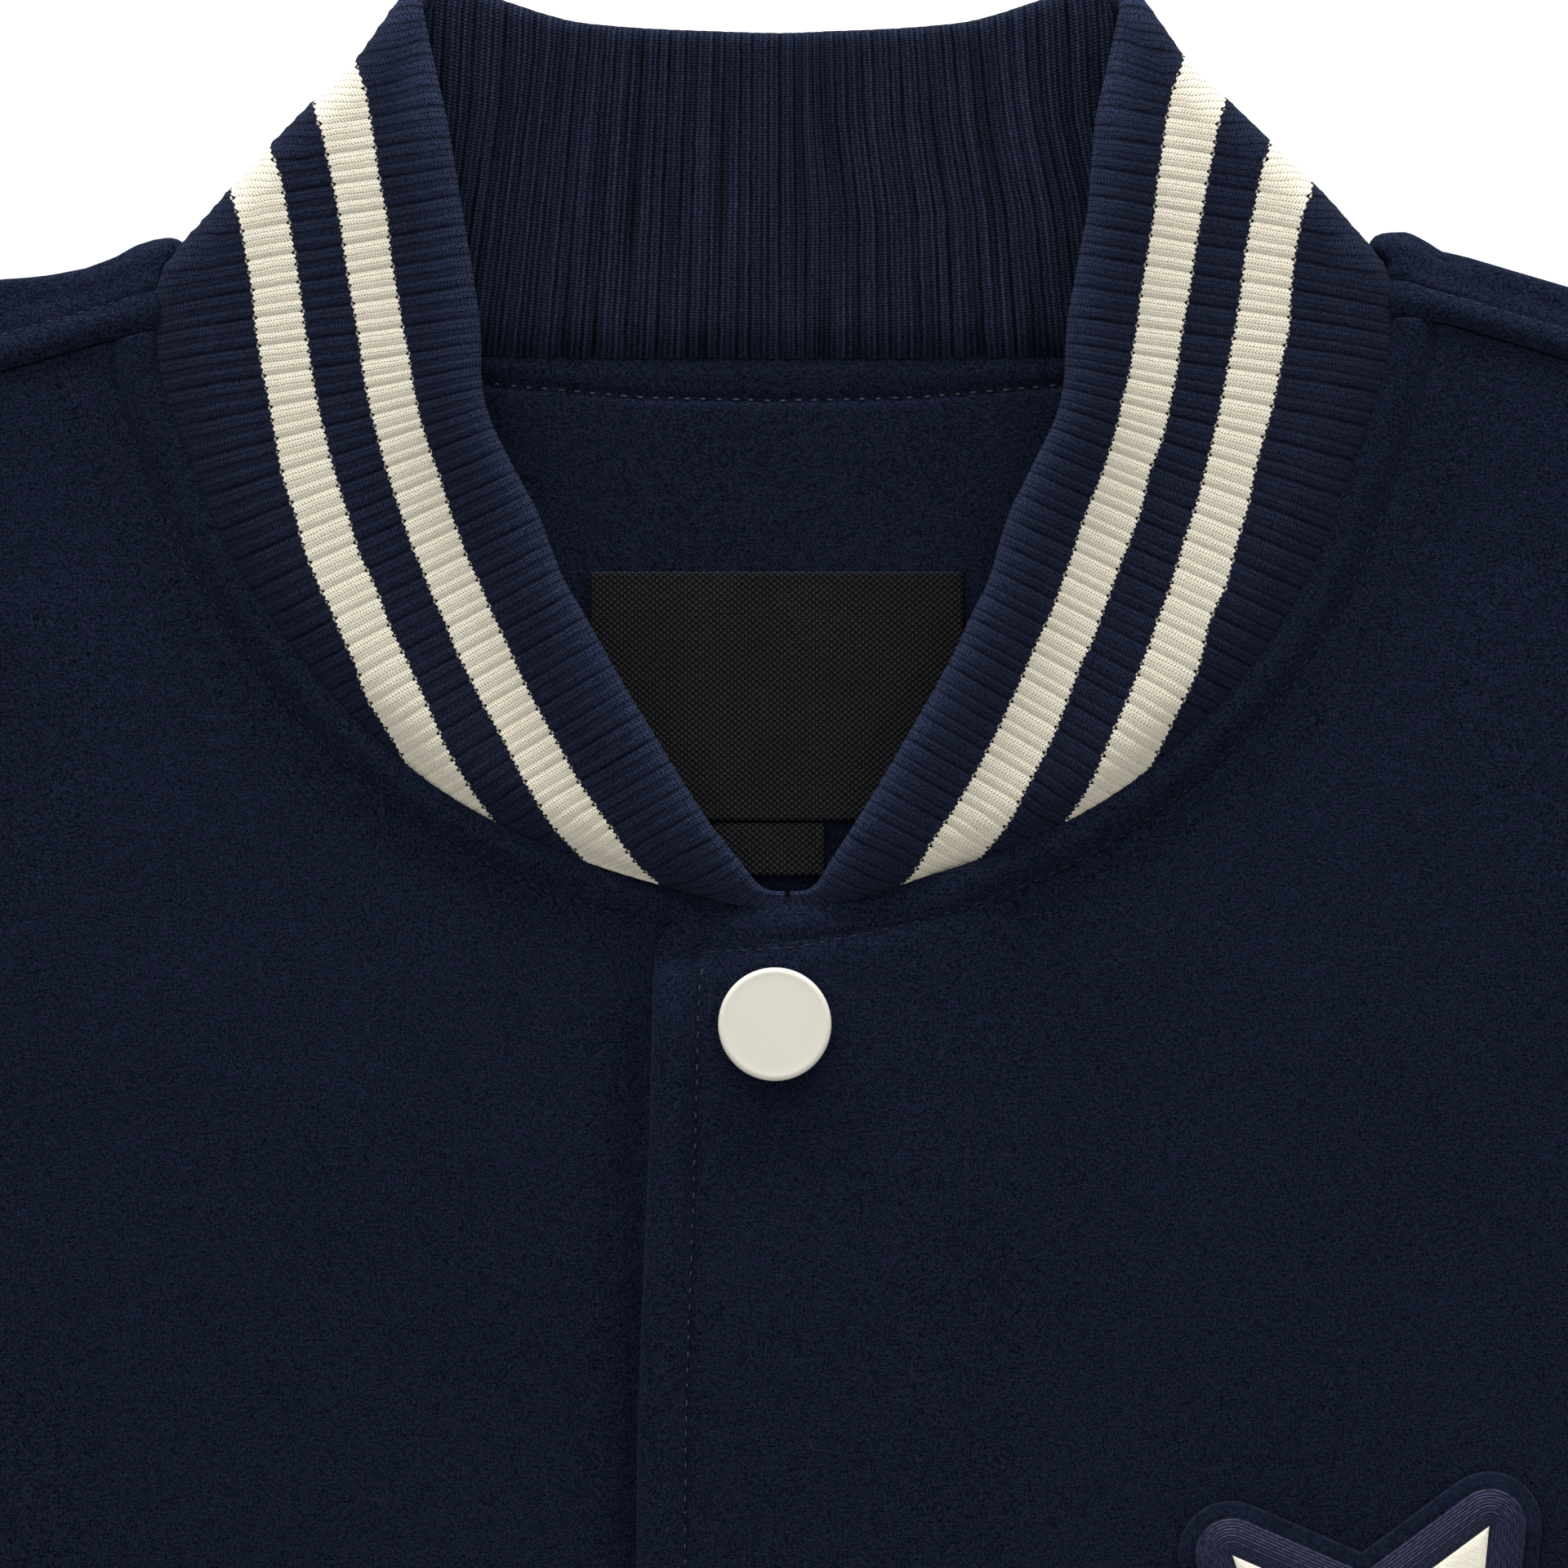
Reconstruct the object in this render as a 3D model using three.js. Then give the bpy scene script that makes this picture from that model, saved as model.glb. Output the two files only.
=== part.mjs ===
// A snapped-closed varsity jacket lying flat on its back, sleeves out to the sides.
// Millimetres, +Z up. The garment is drawn with the high points of the shoulders on y = 0
// and the centre front on x = 0, and then moved so that the middle of its underside is the
// origin. "left" and "right" in names are the wearer's: the left front is at +x.
import * as THREE from "three";

// ---------------------------------------------------------------- sizes
const MELTON = 2.0; // wool cloth
const RIB = 4.6; // double knit of the collar
const RIB_BAND = 3.6; // double knit of the cuffs and waistband
const GAP = 0.3; // between pieces at a seam
const FOLD_R = 1.8; // middle of the cloth where the body and sleeves fold flat
const FOLD_Z = 2.8; // height of that fold
const NECK_HALF = 101.7; // centre to the high point of the shoulder
const SHOULDER = { x: 250, y: -42 }; // shoulder point
const UNDERARM_Y = -285;
const WAIST_Y = -640; // top of the waistband
const HEM_Y = -700;
const SEAM_FORWARD = 12.7; // shoulder seam, forward of the shoulder fold
const BACK_NECK_DROP = 19.7;
const PLACKET = 20.7; // the fronts pass the centre front by this much
const TAB = 45; // width of the cloth tabs at the ends of the waistband
const OVERLAP_Z = 7.5; // middle of the left front where it lies on the right one
const OVERLAP_CLOTH = 3.2; // the turned front edge is two layers of cloth
const NECK_LIFT = 1.3; // the cloth rises to the collar along the neck seam
const HEM_LIFT = 0.7; // and over the waistband at the tabs
const SNAP = { r: 9.2, t: 2.8, x: -0.8, first: -127, pitch: 108, count: 6 };
const LABEL = { x: -0.5, top: -53.3, w: 61, h: 40.7, t: 0.8 };
const SIZE_TAB = { x: -1.7, w: 18, h: 8.7, t: 0.6 };
const STAR = { x: 97.9, y: -240, r: 36, inner: 0.47, tilt: 0.515, border: 6, margin: 2.6, felt: 1.0 };

// Outer edge of one half of the body, from the shoulder point down: armhole, side, waist.
const SIDE = [
  { y: -42, x: 250 },
  { y: -80, x: 241 },
  { y: -120, x: 236.5 },
  { y: -160, x: 236 },
  { y: -200, x: 241 },
  { y: -235, x: 252 },
  { y: -262, x: 268 },
  { y: -285, x: 290 },
  { y: -330, x: 293 },
  { y: -400, x: 292 },
  { y: -480, x: 291 },
  { y: -560, x: 289 },
  { y: -610, x: 283 },
  { y: -640, x: 268 },
];

// Rows of a front: where each one starts at the neck or front edge, and the height at
// which it meets the armhole or side.
const FRONT_ROWS = [
  { x: 102.4, y: -13.6, outer: -54.6 },
  { x: 101.6, y: -22, outer: -66 },
  { x: 97.2, y: -34, outer: -80 },
  { x: 90, y: -49.5, outer: -100 },
  { x: 79.7, y: -65.2, outer: -120 },
  { x: 66.2, y: -80.2, outer: -140 },
  { x: 49.3, y: -92.6, outer: -160 },
  { x: 28, y: -101.8, outer: -175 },
  { x: 3.3, y: -107.6, outer: -188 },
  { x: -14, y: -109, outer: -200 },
  { x: -19.3, y: -113, outer: -211 },
  { x: -20.7, y: -121, outer: -222 },
  { x: -20.7, y: -148, outer: -235 },
  { x: -20.7, y: -185, outer: -262 },
  { x: -20.7, y: -220, outer: -285 },
  { x: -20.7, y: -280, outer: -335 },
  { x: -20.7, y: -365, outer: -410 },
  { x: -20.7, y: -460, outer: -490 },
  { x: -20.7, y: -560, outer: -570 },
  { x: -20.7, y: -610, outer: -613 },
  { x: -20.7, y: -639.8, outer: -639.8 },
  { x: -20.7, y: -670, outer: -670 },
  { x: -20.7, y: -700, outer: -700 },
];

// Rows of the back, below its upper edge: height at the side, and how much of the shape
// of the upper edge is still in the row.
const BACK_ROWS = [
  { outer: -42, top: 1 },
  { outer: -80, top: 0.76 },
  { outer: -120, top: 0.54 },
  { outer: -160, top: 0.36 },
  { outer: -200, top: 0.2 },
  { outer: -235, top: 0.1 },
  { outer: -262, top: 0.04 },
  { outer: -285, top: 0 },
  { outer: -345, top: 0 },
  { outer: -430, top: 0 },
  { outer: -520, top: 0 },
  { outer: -595, top: 0 },
  { outer: -639.8, top: 0 },
];
// Back neck edge, out from the centre.
const BACK_NECK = [
  { x: 0, y: -19.7 },
  { x: 22, y: -19.2 },
  { x: 45, y: -17.2 },
  { x: 68, y: -13.6 },
  { x: 88, y: -9.5 },
  { x: 101.7, y: 0 },
];

// Upper and lower edges of a sleeve, from the armhole to the cuff seam.
const SLEEVE = [
  { xt: 250, yt: -42, xb: 290, yb: -285 },
  { xt: 286, yt: -52, xb: 312, yb: -297 },
  { xt: 325, yt: -71, xb: 345, yb: -313 },
  { xt: 375, yt: -103, xb: 392, yb: -336 },
  { xt: 435, yt: -146, xb: 445, yb: -362 },
  { xt: 510, yt: -200.5, xb: 505, yb: -391 },
  { xt: 590, yt: -258.7, xb: 565, yb: -420 },
  { xt: 660, yt: -309.6, xb: 615, yb: -443 },
  { xt: 698, yt: -338, xb: 642, yb: -439 },
  { xt: 711.1, yt: -348.6, xb: 656.6, yb: -426.6 },
  { xt: 716, yt: -352, xb: 661.5, yb: -430 },
];
const CUFF = { length: 60, r: 2.2 };
// Soft creases in the upper layer of a sleeve: place along it, height, length, slant.
const SLEEVE_CREASES = [
  { at: 0.16, h: 1.6, w: 0.05, slant: 0.1 },
  { at: 0.36, h: 1.1, w: 0.04, slant: -0.12 },
  { at: 0.52, h: 1.8, w: 0.05, slant: 0.16 },
  { at: 0.78, h: 1.2, w: 0.05, slant: -0.08 },
];

// One half of the collar band from the centre front up to where it folds over, and then
// from there to the centre back: fold edge (xe, ye), neck seam (xs, ys), height of the
// middle of the knit. Written for the +x half.
const COLLAR_FRONT = [
  { xe: 1.3, ye: -105.4, xs: 1.6, ys: -106.8, z: 7 },
  { xe: 9, ye: -97.6, xs: 17, ys: -103.9, z: 7 },
  { xe: 16.5, ye: -87.5, xs: 34.5, ys: -98.3, z: 7 },
  { xe: 26, ye: -70.7, xs: 55, ys: -87.8, z: 7 },
  { xe: 35.3, ye: -54.3, xs: 71.6, ys: -73.2, z: 7.05 },
  { xe: 42, ye: -38.9, xs: 83.5, ys: -57.8, z: 7.15 },
  { xe: 46.8, ye: -28, xs: 92.2, ys: -42.6, z: 7.3 },
  { xe: 48.7, ye: -13.3, xs: 99.1, ys: -27, z: 7.5 },
  { xe: 51.6, ye: 5, xs: 101, ys: -17, z: 7.5 },
];
const COLLAR_FOLD = { xe: 56.5, ye: 35.3, xs: 99.2, ys: -8.6, z: 7.5, zBack: 2.4, shift: 0.721, shiftSeam: 0.9 };
const COLLAR_BACK = [
  { xe: 46, ye: 38.2, xs: 76, ys: -10.3, z: 2.4 },
  { xe: 36, ye: 37, xs: 50, ys: -16.2, z: 2.4 },
  { xe: 22, ye: 35.7, xs: 25, ys: -18.8, z: 2.4 },
  { xe: 0, ye: 34.9, xs: 0, ys: -19.3, z: 2.4 },
];
// Thickness of the band from its fold edge (0) to the neck seam (1).
const COLLAR_PROFILE = [
  { at: 0, t: 1.4 },
  { at: 0.02, t: 3.4 },
  { at: 0.06, t: 4.6 },
  { at: 0.5, t: 4.6 },
  { at: 0.93, t: 4.4 },
  { at: 1, t: 3.4 },
];

const COLOR = { melton: 0x141f38, rib: 0x1a2340, felt: 0x1b2747, cream: 0xe2dcc8, label: 0x191b1b, snap: 0xddd8cb, thread: 0x232c4c };

// ---------------------------------------------------------------- helpers
const mix = (a, b, t) => a + (b - a) * t;
const smooth = (a, b, v) => {
  const t = Math.min(1, Math.max(0, (v - a) / (b - a)));
  return t * t * (3 - 2 * t);
};

// A column of a table, smoothly between its rows. k runs from 0 to the last row's number.
function column(rows, name, k) {
  const n = rows.length - 1;
  const i = Math.min(n - 1, Math.max(0, Math.floor(k)));
  const t = k - i;
  const p0 = rows[Math.max(0, i - 1)][name];
  const p1 = rows[i][name];
  const p2 = rows[i + 1][name];
  const p3 = rows[Math.min(n, i + 2)][name];
  return 0.5 * (2 * p1 + (p2 - p0) * t + (2 * p0 - 5 * p1 + 4 * p2 - p3) * t * t + (3 * p1 - p0 - 3 * p2 + p3) * t * t * t);
}

// Value of one column where another has the value v, in straight steps.
function lookup(rows, key, name, v) {
  const up = rows[rows.length - 1][key] > rows[0][key];
  for (let i = 1; i < rows.length; i++)
    if (up ? v <= rows[i][key] : v >= rows[i][key])
      return mix(rows[i - 1][name], rows[i][name], Math.min(1, Math.max(0, (v - rows[i - 1][key]) / (rows[i][key] - rows[i - 1][key]))));
  return rows[rows.length - 1][name];
}
const sideX = (y) => lookup(SIDE, "y", "x", y);
const backNeckY = (x) => lookup(BACK_NECK, "x", "y", x);

// A wall of cloth through a grid of points on its middle surface. Cells that skip() names
// are left out, and ring joins the last column to the first.
function wall(points, thickness, { skip = () => false, ring = false } = {}) {
  const rows = points.length;
  const cols = points[0].length;
  const cells = [];
  const has = new Set();
  for (let j = 0; j < rows - 1; j++)
    for (let i = 0; i < (ring ? cols : cols - 1); i++)
      if (!skip(i, j)) {
        cells.push([i, j]);
        has.add(i + "," + j);
      }
  const normals = points.map((row) => row.map(() => new THREE.Vector3()));
  const next = (i) => (i + 1) % cols;
  const du = new THREE.Vector3();
  const dv = new THREE.Vector3();
  for (const [i, j] of cells) {
    const [a, b, c, d] = [points[j][i], points[j][next(i)], points[j + 1][next(i)], points[j + 1][i]];
    du.subVectors(c, a);
    dv.subVectors(d, b);
    const n = du.cross(dv).normalize();
    for (const [p, q] of [[i, j], [next(i), j], [next(i), j + 1], [i, j + 1]]) normals[q][p].add(n);
  }
  const position = [];
  const id = new Map();
  const vertex = (i, j, side) => {
    const key = i + "," + j + "," + side;
    if (!id.has(key)) {
      const n = normals[j][i].clone().normalize();
      const p = points[j][i].clone().addScaledVector(n, (side * thickness(i, j)) / 2);
      id.set(key, position.length / 3);
      position.push(p.x, p.y, p.z);
    }
    return id.get(key);
  };
  const index = [];
  const quad = (a, b, c, d) => index.push(a, b, c, a, c, d);
  const present = (i, j) => has.has((ring ? (i + cols) % cols : i) + "," + j);
  for (const [i, j] of cells) {
    const k = next(i);
    quad(vertex(i, j, 1), vertex(k, j, 1), vertex(k, j + 1, 1), vertex(i, j + 1, 1));
    quad(vertex(i, j + 1, -1), vertex(k, j + 1, -1), vertex(k, j, -1), vertex(i, j, -1));
    const edge = (p, q, r, s) => quad(vertex(p, q, -1), vertex(r, s, -1), vertex(r, s, 1), vertex(p, q, 1));
    if (!present(i, j - 1)) edge(i, j, k, j);
    if (!present(i, j + 1)) edge(k, j + 1, i, j + 1);
    if (!present(i - 1, j)) edge(i, j + 1, i, j);
    if (!present(i + 1, j)) edge(k, j, k, j + 1);
  }
  return new THREE.BufferGeometry()
    .setAttribute("position", new THREE.Float32BufferAttribute(position, 3))
    .setIndex(index);
}

const jacket = new THREE.Group();
const garment = new THREE.Group();
jacket.add(garment);
// x, y and z of the garment; mirrored pieces reverse x and their winding.
function add(name, geometry, color, { mirror = false, roughness = 0.9 } = {}) {
  if (mirror) {
    geometry.scale(-1, 1, 1);
    const index = geometry.index.array;
    for (let i = 0; i < index.length; i += 3) [index[i + 1], index[i + 2]] = [index[i + 2], index[i + 1]];
  }
  geometry.computeVertexNormals();
  const mesh = new THREE.Mesh(geometry, new THREE.MeshStandardMaterial({ color, roughness, metalness: 0 }));
  mesh.name = name;
  garment.add(mesh);
  return mesh;
}
const V = (x, y, z) => new THREE.Vector3(x, y, z);

// The stations of a folded edge: how far in from the outline, and how far up or down
// from the height of the fold.
const FOLD = [11, 16, 48, 90].map((deg) => {
  const a = THREE.MathUtils.degToRad(deg);
  return { inset: FOLD_R * (1 - Math.cos(a)), rise: FOLD_R * Math.sin(a) };
});
// Along the side the cloth folds; along the armhole it is flat.
const sideFold = (y) => 1 - smooth(UNDERARM_Y - 4, UNDERARM_Y + 26, y);

// ---------------------------------------------------------------- back
{
  const half = [0, 24, 48, 70, 88].map((x) => ({ x }));
  const neckSteps = half.length;
  const across = [0, 0.2, 0.42, 0.64, 0.86];
  const build = (sign) => {
    // Columns from the centre out, as functions of a row.
    const cols = [];
    for (const h of half) cols.push({ frac: h.x / SHOULDER.x, x: h.x });
    for (const f of across) cols.push({ x: mix(NECK_HALF, SHOULDER.x, f) });
    return cols.map((c) => c.x * sign);
  };
  const right = build(1);
  const topY = (x) => (x < NECK_HALF ? backNeckY(x) : mix(0, SHOULDER.y, (x - NECK_HALF) / (SHOULDER.x - NECK_HALF)));
  const rowPoints = (row) => {
    const outerX = sideX(row.outer) - (row.outer > UNDERARM_Y ? GAP / 2 : 0);
    const s = 1 - row.top;
    const fold = sideFold(row.outer);
    const scale = outerX / SHOULDER.x;
    const list = right.map((x) => {
      const y = row.outer + (topY(x) - SHOULDER.y) * row.top;
      return V(x * mix(1, scale, s > 0 ? 1 : 0), y, FOLD_Z - FOLD_R);
    });
    for (let k = FOLD.length - 1; k >= 0; k--)
      list.push(V(outerX - FOLD[k].inset, row.outer, FOLD_Z - mix(FOLD_R, FOLD[k].rise, fold)));
    return list;
  };
  // The shoulder: over the fold and forward to the shoulder seam.
  const wrapRow = (inset, z) => {
    const list = rowPoints(BACK_ROWS[0]);
    return list.map((p) => {
      const slope = Math.atan2(-SHOULDER.y, SHOULDER.x - NECK_HALF);
      if (p.x < NECK_HALF - 1) return p;
      const x = p.x - Math.sin(slope) * inset * ((p.x - NECK_HALF) / (SHOULDER.x - NECK_HALF));
      return V(x, topY(x) - inset / Math.cos(slope), z);
    });
  };
  const arc = [90, 45, 0, -45, -90].map((deg) => {
    const a = THREE.MathUtils.degToRad(deg);
    return { inset: FOLD_R * (1 - Math.cos(a)), z: FOLD_Z + FOLD_R * Math.sin(a) };
  });
  const wraps = [wrapRow(SEAM_FORWARD - GAP / 2, arc[0].z), wrapRow(7, arc[0].z), ...arc.map((a) => wrapRow(a.inset, a.z))];
  const lower = BACK_ROWS.slice(1).map(rowPoints);
  const neckRow = rowPoints(BACK_ROWS[0]);
  // At the neck the row above the panel's own first row is only a place holder.
  const rows = [...wraps, ...lower];
  rows[wraps.length - 1] = rows[wraps.length - 1].map((p, i) => (i < neckSteps ? neckRow[i] : p));
  const full = rows.map((row) => [...row.slice(1).reverse().map((p) => V(-p.x, p.y, p.z)), ...row]);
  const centre = full[0].length >> 1;
  add(
    "back",
    wall(
      full.map((row) => row.map((p) => p)),
      () => MELTON,
      { skip: (i, j) => j < wraps.length - 1 && i >= centre - neckSteps && i < centre + neckSteps },
    ),
    COLOR.melton,
  );
}

// ---------------------------------------------------------------- fronts
// Height of the middle of a front, and its thickness: s is +1 for the left front, which
// lies on top at the placket, and -1 for the right one.
function frontHeight(s, x, y, fromEdge) {
  const flat = FOLD_Z + FOLD_R;
  const lift = NECK_LIFT * (1 - smooth(0, 18, fromEdge)) * smooth(-135, -100, y);
  const hem = HEM_LIFT * (1 - smooth(-632, -600, y));
  if (s < 0) return flat + hem + lift * smooth(22, 40, x);
  const over = 1 - smooth(PLACKET + 5, PLACKET + 19, x);
  return mix(flat + lift, OVERLAP_Z, over) + hem;
}
const frontThickness = (s, x, y) => (s > 0 ? mix(OVERLAP_CLOTH, MELTON, smooth(PLACKET - 2, PLACKET + 10, x)) : MELTON);

function front(s) {
  const band = [0, 1.4, 6.5, 14, 22, 33, TAB]; // columns that follow the neck and front edge
  const across = [0.12, 0.28, 0.46, 0.64, 0.82];
  const rows = FRONT_ROWS.map((row) => {
    const tab = row.outer < WAIST_Y;
    const outerX = tab ? sideX(WAIST_Y) : sideX(row.outer) - (row.outer > UNDERARM_Y ? GAP / 2 : 0);
    const inner = V(row.x, row.y, 0);
    const outer = V(outerX, row.outer, 0);
    const length = inner.distanceTo(outer);
    const fold = sideFold(row.outer);
    const list = [];
    const at = (d) => {
      const p = inner.clone().lerp(outer, d / length);
      p.z = frontHeight(s, p.x, p.y, d);
      list.push(p);
    };
    band.forEach(at);
    const spread = length - TAB - FOLD_R;
    for (const f of across) at(TAB + spread * f);
    for (let k = FOLD.length - 1; k >= 0; k--) {
      at(length - FOLD[k].inset);
      list[list.length - 1].z = FOLD_Z + mix(FOLD_R, FOLD[k].rise, fold);
    }
    return list;
  });
  const tabRow = FRONT_ROWS.findIndex((row) => row.outer < WAIST_Y);
  const lastBand = band.length - 1;
  const geometry = wall(rows.map((r) => r.slice()).reverse(), (i, j) => {
    const p = rows[rows.length - 1 - j][i];
    return frontThickness(s, p.x, p.y);
  }, {
    skip: (i, j) => rows.length - 1 - (j + 1) >= tabRow - 1 && i >= lastBand,
  });
  return geometry;
}
add("front_left", front(1), COLOR.melton);
add("front_right", front(-1), COLOR.melton, { mirror: true });

// ---------------------------------------------------------------- sleeves and cuffs
// Points round a flattened tube: how far from each edge, or what part of the way, and how
// far above or below the middle.
function ringStations(r, parts) {
  const bend = [0, 45, 90].map((deg) => {
    const a = THREE.MathUtils.degToRad(deg);
    return { inset: r * (1 - Math.cos(a)), rise: r * Math.sin(a) };
  });
  const list = [];
  for (const up of [1, -1]) {
    const near = up > 0 ? 0 : 1;
    list.push({ end: near, inset: 0, rise: 0 });
    list.push({ end: near, inset: bend[1].inset, rise: up * bend[1].rise });
    list.push({ end: near, inset: bend[2].inset, rise: up * r });
    for (const part of up > 0 ? parts : parts.slice().reverse()) list.push({ frac: part, rise: up * r });
    list.push({ end: 1 - near, inset: bend[2].inset, rise: up * r });
    list.push({ end: 1 - near, inset: bend[1].inset, rise: up * bend[1].rise });
  }
  return list;
}
const place = (st, width) => (st.frac !== undefined ? st.frac : st.end ? 1 - st.inset / width : st.inset / width);

const armhole = (w) => {
  const y = mix(SHOULDER.y, UNDERARM_Y, w);
  const clear = smooth(0.72, 1, w); // past the side of the body at the underarm
  return { x: sideX(y) + GAP / 2 + 1.5 * clear, y: y + 0.9 * clear };
};
function sleevePoint(w, k) {
  const last = SLEEVE.length - 1;
  const v = k / last;
  const top = { x: column(SLEEVE, "xt", k), y: column(SLEEVE, "yt", k) };
  const low = { x: column(SLEEVE, "xb", k), y: column(SLEEVE, "yb", k) };
  const a = armhole(w);
  const straight = { x: mix(SLEEVE[0].xt, SLEEVE[0].xb, w), y: mix(SLEEVE[0].yt, SLEEVE[0].yb, w) };
  const keep = 1 - smooth(0, 0.45, v); // the armhole's curve fades out along the sleeve
  return { x: mix(top.x, low.x, w) + (a.x - straight.x) * keep, y: mix(top.y, low.y, w) + (a.y - straight.y) * keep };
}
function sleeve() {
  const stations = ringStations(FOLD_R, [-80, -120, -160, -200, -235, -262].map((y) => (y - SHOULDER.y) / (UNDERARM_Y - SHOULDER.y)));
  const last = SLEEVE.length - 1;
  const ks = [0, 0.7, 1.5, 2.4, 3.2, 4, 4.8, 5.6, 6.4, 7.2, 8, 9, last];
  const rows = ks.map((k) => {
    const a = sleevePoint(0, k);
    const b = sleevePoint(1, k);
    const width = Math.hypot(a.x - b.x, a.y - b.y);
    return stations.map((st) => {
      const w = place(st, width);
      const p = sleevePoint(w, k);
      let z = FOLD_Z + st.rise;
      if (st.rise === FOLD_R)
        for (const c of SLEEVE_CREASES) {
          const d = (k / last - c.at - c.slant * (w - 0.5)) / c.w;
          z += c.h * Math.exp(-d * d) * Math.sin(Math.PI * w) * smooth(0, 0.08, k / last) * (1 - smooth(0.92, 1, k / last));
        }
      return V(p.x, p.y, z);
    });
  });
  return wall(rows, () => MELTON, { ring: true });
}
add("sleeve_left", sleeve(), COLOR.melton);
add("sleeve_right", sleeve(), COLOR.melton, { mirror: true });

function cuff() {
  const end = SLEEVE[SLEEVE.length - 1];
  const top = V(end.xt, end.yt, 0);
  const low = V(end.xb, end.yb, 0);
  const axis = V(-(low.y - top.y), low.x - top.x, 0).normalize();
  if (axis.x < 0) axis.negate();
  const width = top.distanceTo(low);
  const stations = ringStations(CUFF.r, [0.2, 0.4, 0.6, 0.8]);
  const rows = [0, 0.33, 0.66, 1].map((v) =>
    stations.map((st) => {
      const p = top.clone().lerp(low, place(st, width));
      p.addScaledVector(axis, GAP + CUFF.length * v);
      p.z = RIB_BAND / 2 + CUFF.r + st.rise;
      return p;
    }),
  );
  return wall(rows, (i, j) => (j === 3 ? 2.6 : RIB_BAND), { ring: true });
}
add("cuff_left", cuff(), COLOR.rib);
add("cuff_right", cuff(), COLOR.rib, { mirror: true });

// ---------------------------------------------------------------- waistband
{
  const r = CUFF.r;
  const middle = RIB_BAND / 2 + r;
  const edge = sideX(WAIST_Y) - 2;
  const start = TAB - PLACKET + GAP;
  const path = [];
  for (const f of [0, 0.25, 0.5, 0.75]) path.push({ x: mix(start, edge - r, f), z: middle + r });
  for (const deg of [90, 45, 0, -45, -90]) {
    const a = THREE.MathUtils.degToRad(deg);
    path.push({ x: edge - r + r * Math.cos(a), z: middle + r * Math.sin(a) });
  }
  for (const f of [0.25, 0.5, 0.75]) path.push({ x: (edge - r) * (1 - f), z: middle - r });
  const whole = [...path, { x: 0, z: middle - r }, ...path.slice().reverse().map((p) => ({ x: -p.x, z: p.z }))];
  const rows = [HEM_Y, HEM_Y + 20, HEM_Y + 40, WAIST_Y - GAP / 2].map((y) => whole.map((p) => V(p.x, y, p.z)));
  add("hem_rib", wall(rows.reverse(), (i, j) => (j === 3 ? 2.6 : RIB_BAND)), COLOR.rib);
}

// ---------------------------------------------------------------- collar
{
  const f = COLLAR_FOLD;
  const r = (f.z - f.zBack) / 2;
  const along = V(f.xe - f.xs, f.ye - f.ys, 0).normalize(); // up the fold, towards its tip
  const out = V(-along.y, along.x, 0);
  if (out.x < 0) out.negate(); // away from the neck
  const stations = COLLAR_FRONT.map((c) => ({ e: V(c.xe, c.ye, c.z), s: V(c.xs, c.ys, c.z) }));
  for (const deg of [0, 45, 90, 135, 180]) {
    const a = THREE.MathUtils.degToRad(deg);
    const z = (f.z + f.zBack) / 2 + r * Math.cos(a);
    const round = (p, shift) => p.addScaledVector(along, shift * r * a).addScaledVector(out, r * Math.sin(a));
    stations.push({ e: round(V(f.xe, f.ye, z), f.shift), s: round(V(f.xs, f.ys, z), f.shiftSeam) });
  }
  for (const c of COLLAR_BACK) stations.push({ e: V(c.xe, c.ye, c.z), s: V(c.xs, c.ys, c.z) });
  const half = stations.map(({ e, s }) =>
    COLLAR_PROFILE.map((p) => {
      const q = e.clone().lerp(s, p.at);
      const length = e.distanceTo(s);
      return q.addScaledVector(s.clone().sub(e).normalize(), p.at === 1 ? -Math.min(GAP, length / 4) : 0);
    }),
  );
  const other = half.slice(0, -1).reverse().map((row) => row.map((p) => V(-p.x, p.y, p.z)));
  const all = [...half, ...other];
  const narrow = (j) => Math.min(1, all[j][0].distanceTo(all[j][COLLAR_PROFILE.length - 1]) / 10);
  add("collar", wall(all, (i, j) => mix(2.2, COLLAR_PROFILE[i].t, narrow(j)) * (narrow(j) < 0.3 ? 0.6 : 1)), COLOR.rib);
}

// ---------------------------------------------------------------- back neck facing and labels
{
  const z = FOLD_Z - FOLD_R + MELTON / 2 + GAP + 0.5;
  const across = [-86, -72, -56, -38, -20, 0, 20, 38, 56, 72, 86];
  const down = [0, 0.2, 0.45, 0.7, 0.9, 1];
  const rows = down.map((v) =>
    across.map((x) => {
      const top = backNeckY(Math.abs(x)) - 2.4;
      const low = -150 + 52 * (x / 86) ** 2;
      return V(x, mix(top, low, v), z);
    }),
  );
  add("back_neck_facing", wall(rows.reverse(), () => 1.0), COLOR.melton);
}
function tag(name, x, top, w, h, t, z, color) {
  const shape = new THREE.Shape();
  shape.moveTo(x - w / 2, top - h);
  shape.lineTo(x + w / 2, top - h);
  shape.lineTo(x + w / 2, top);
  shape.lineTo(x - w / 2, top);
  shape.closePath();
  const geometry = new THREE.ExtrudeGeometry(shape, { depth: t, bevelEnabled: false });
  geometry.translate(0, 0, z);
  add(name, geometry, color);
}
const ON_FACING = FOLD_Z - FOLD_R + MELTON / 2 + GAP + 1.0 + GAP;
tag("neck_label", LABEL.x, LABEL.top, LABEL.w, LABEL.h, LABEL.t, ON_FACING, COLOR.label);
tag("size_tab", SIZE_TAB.x, LABEL.top - LABEL.h - GAP, SIZE_TAB.w, SIZE_TAB.h, SIZE_TAB.t, ON_FACING, COLOR.label);

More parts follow.
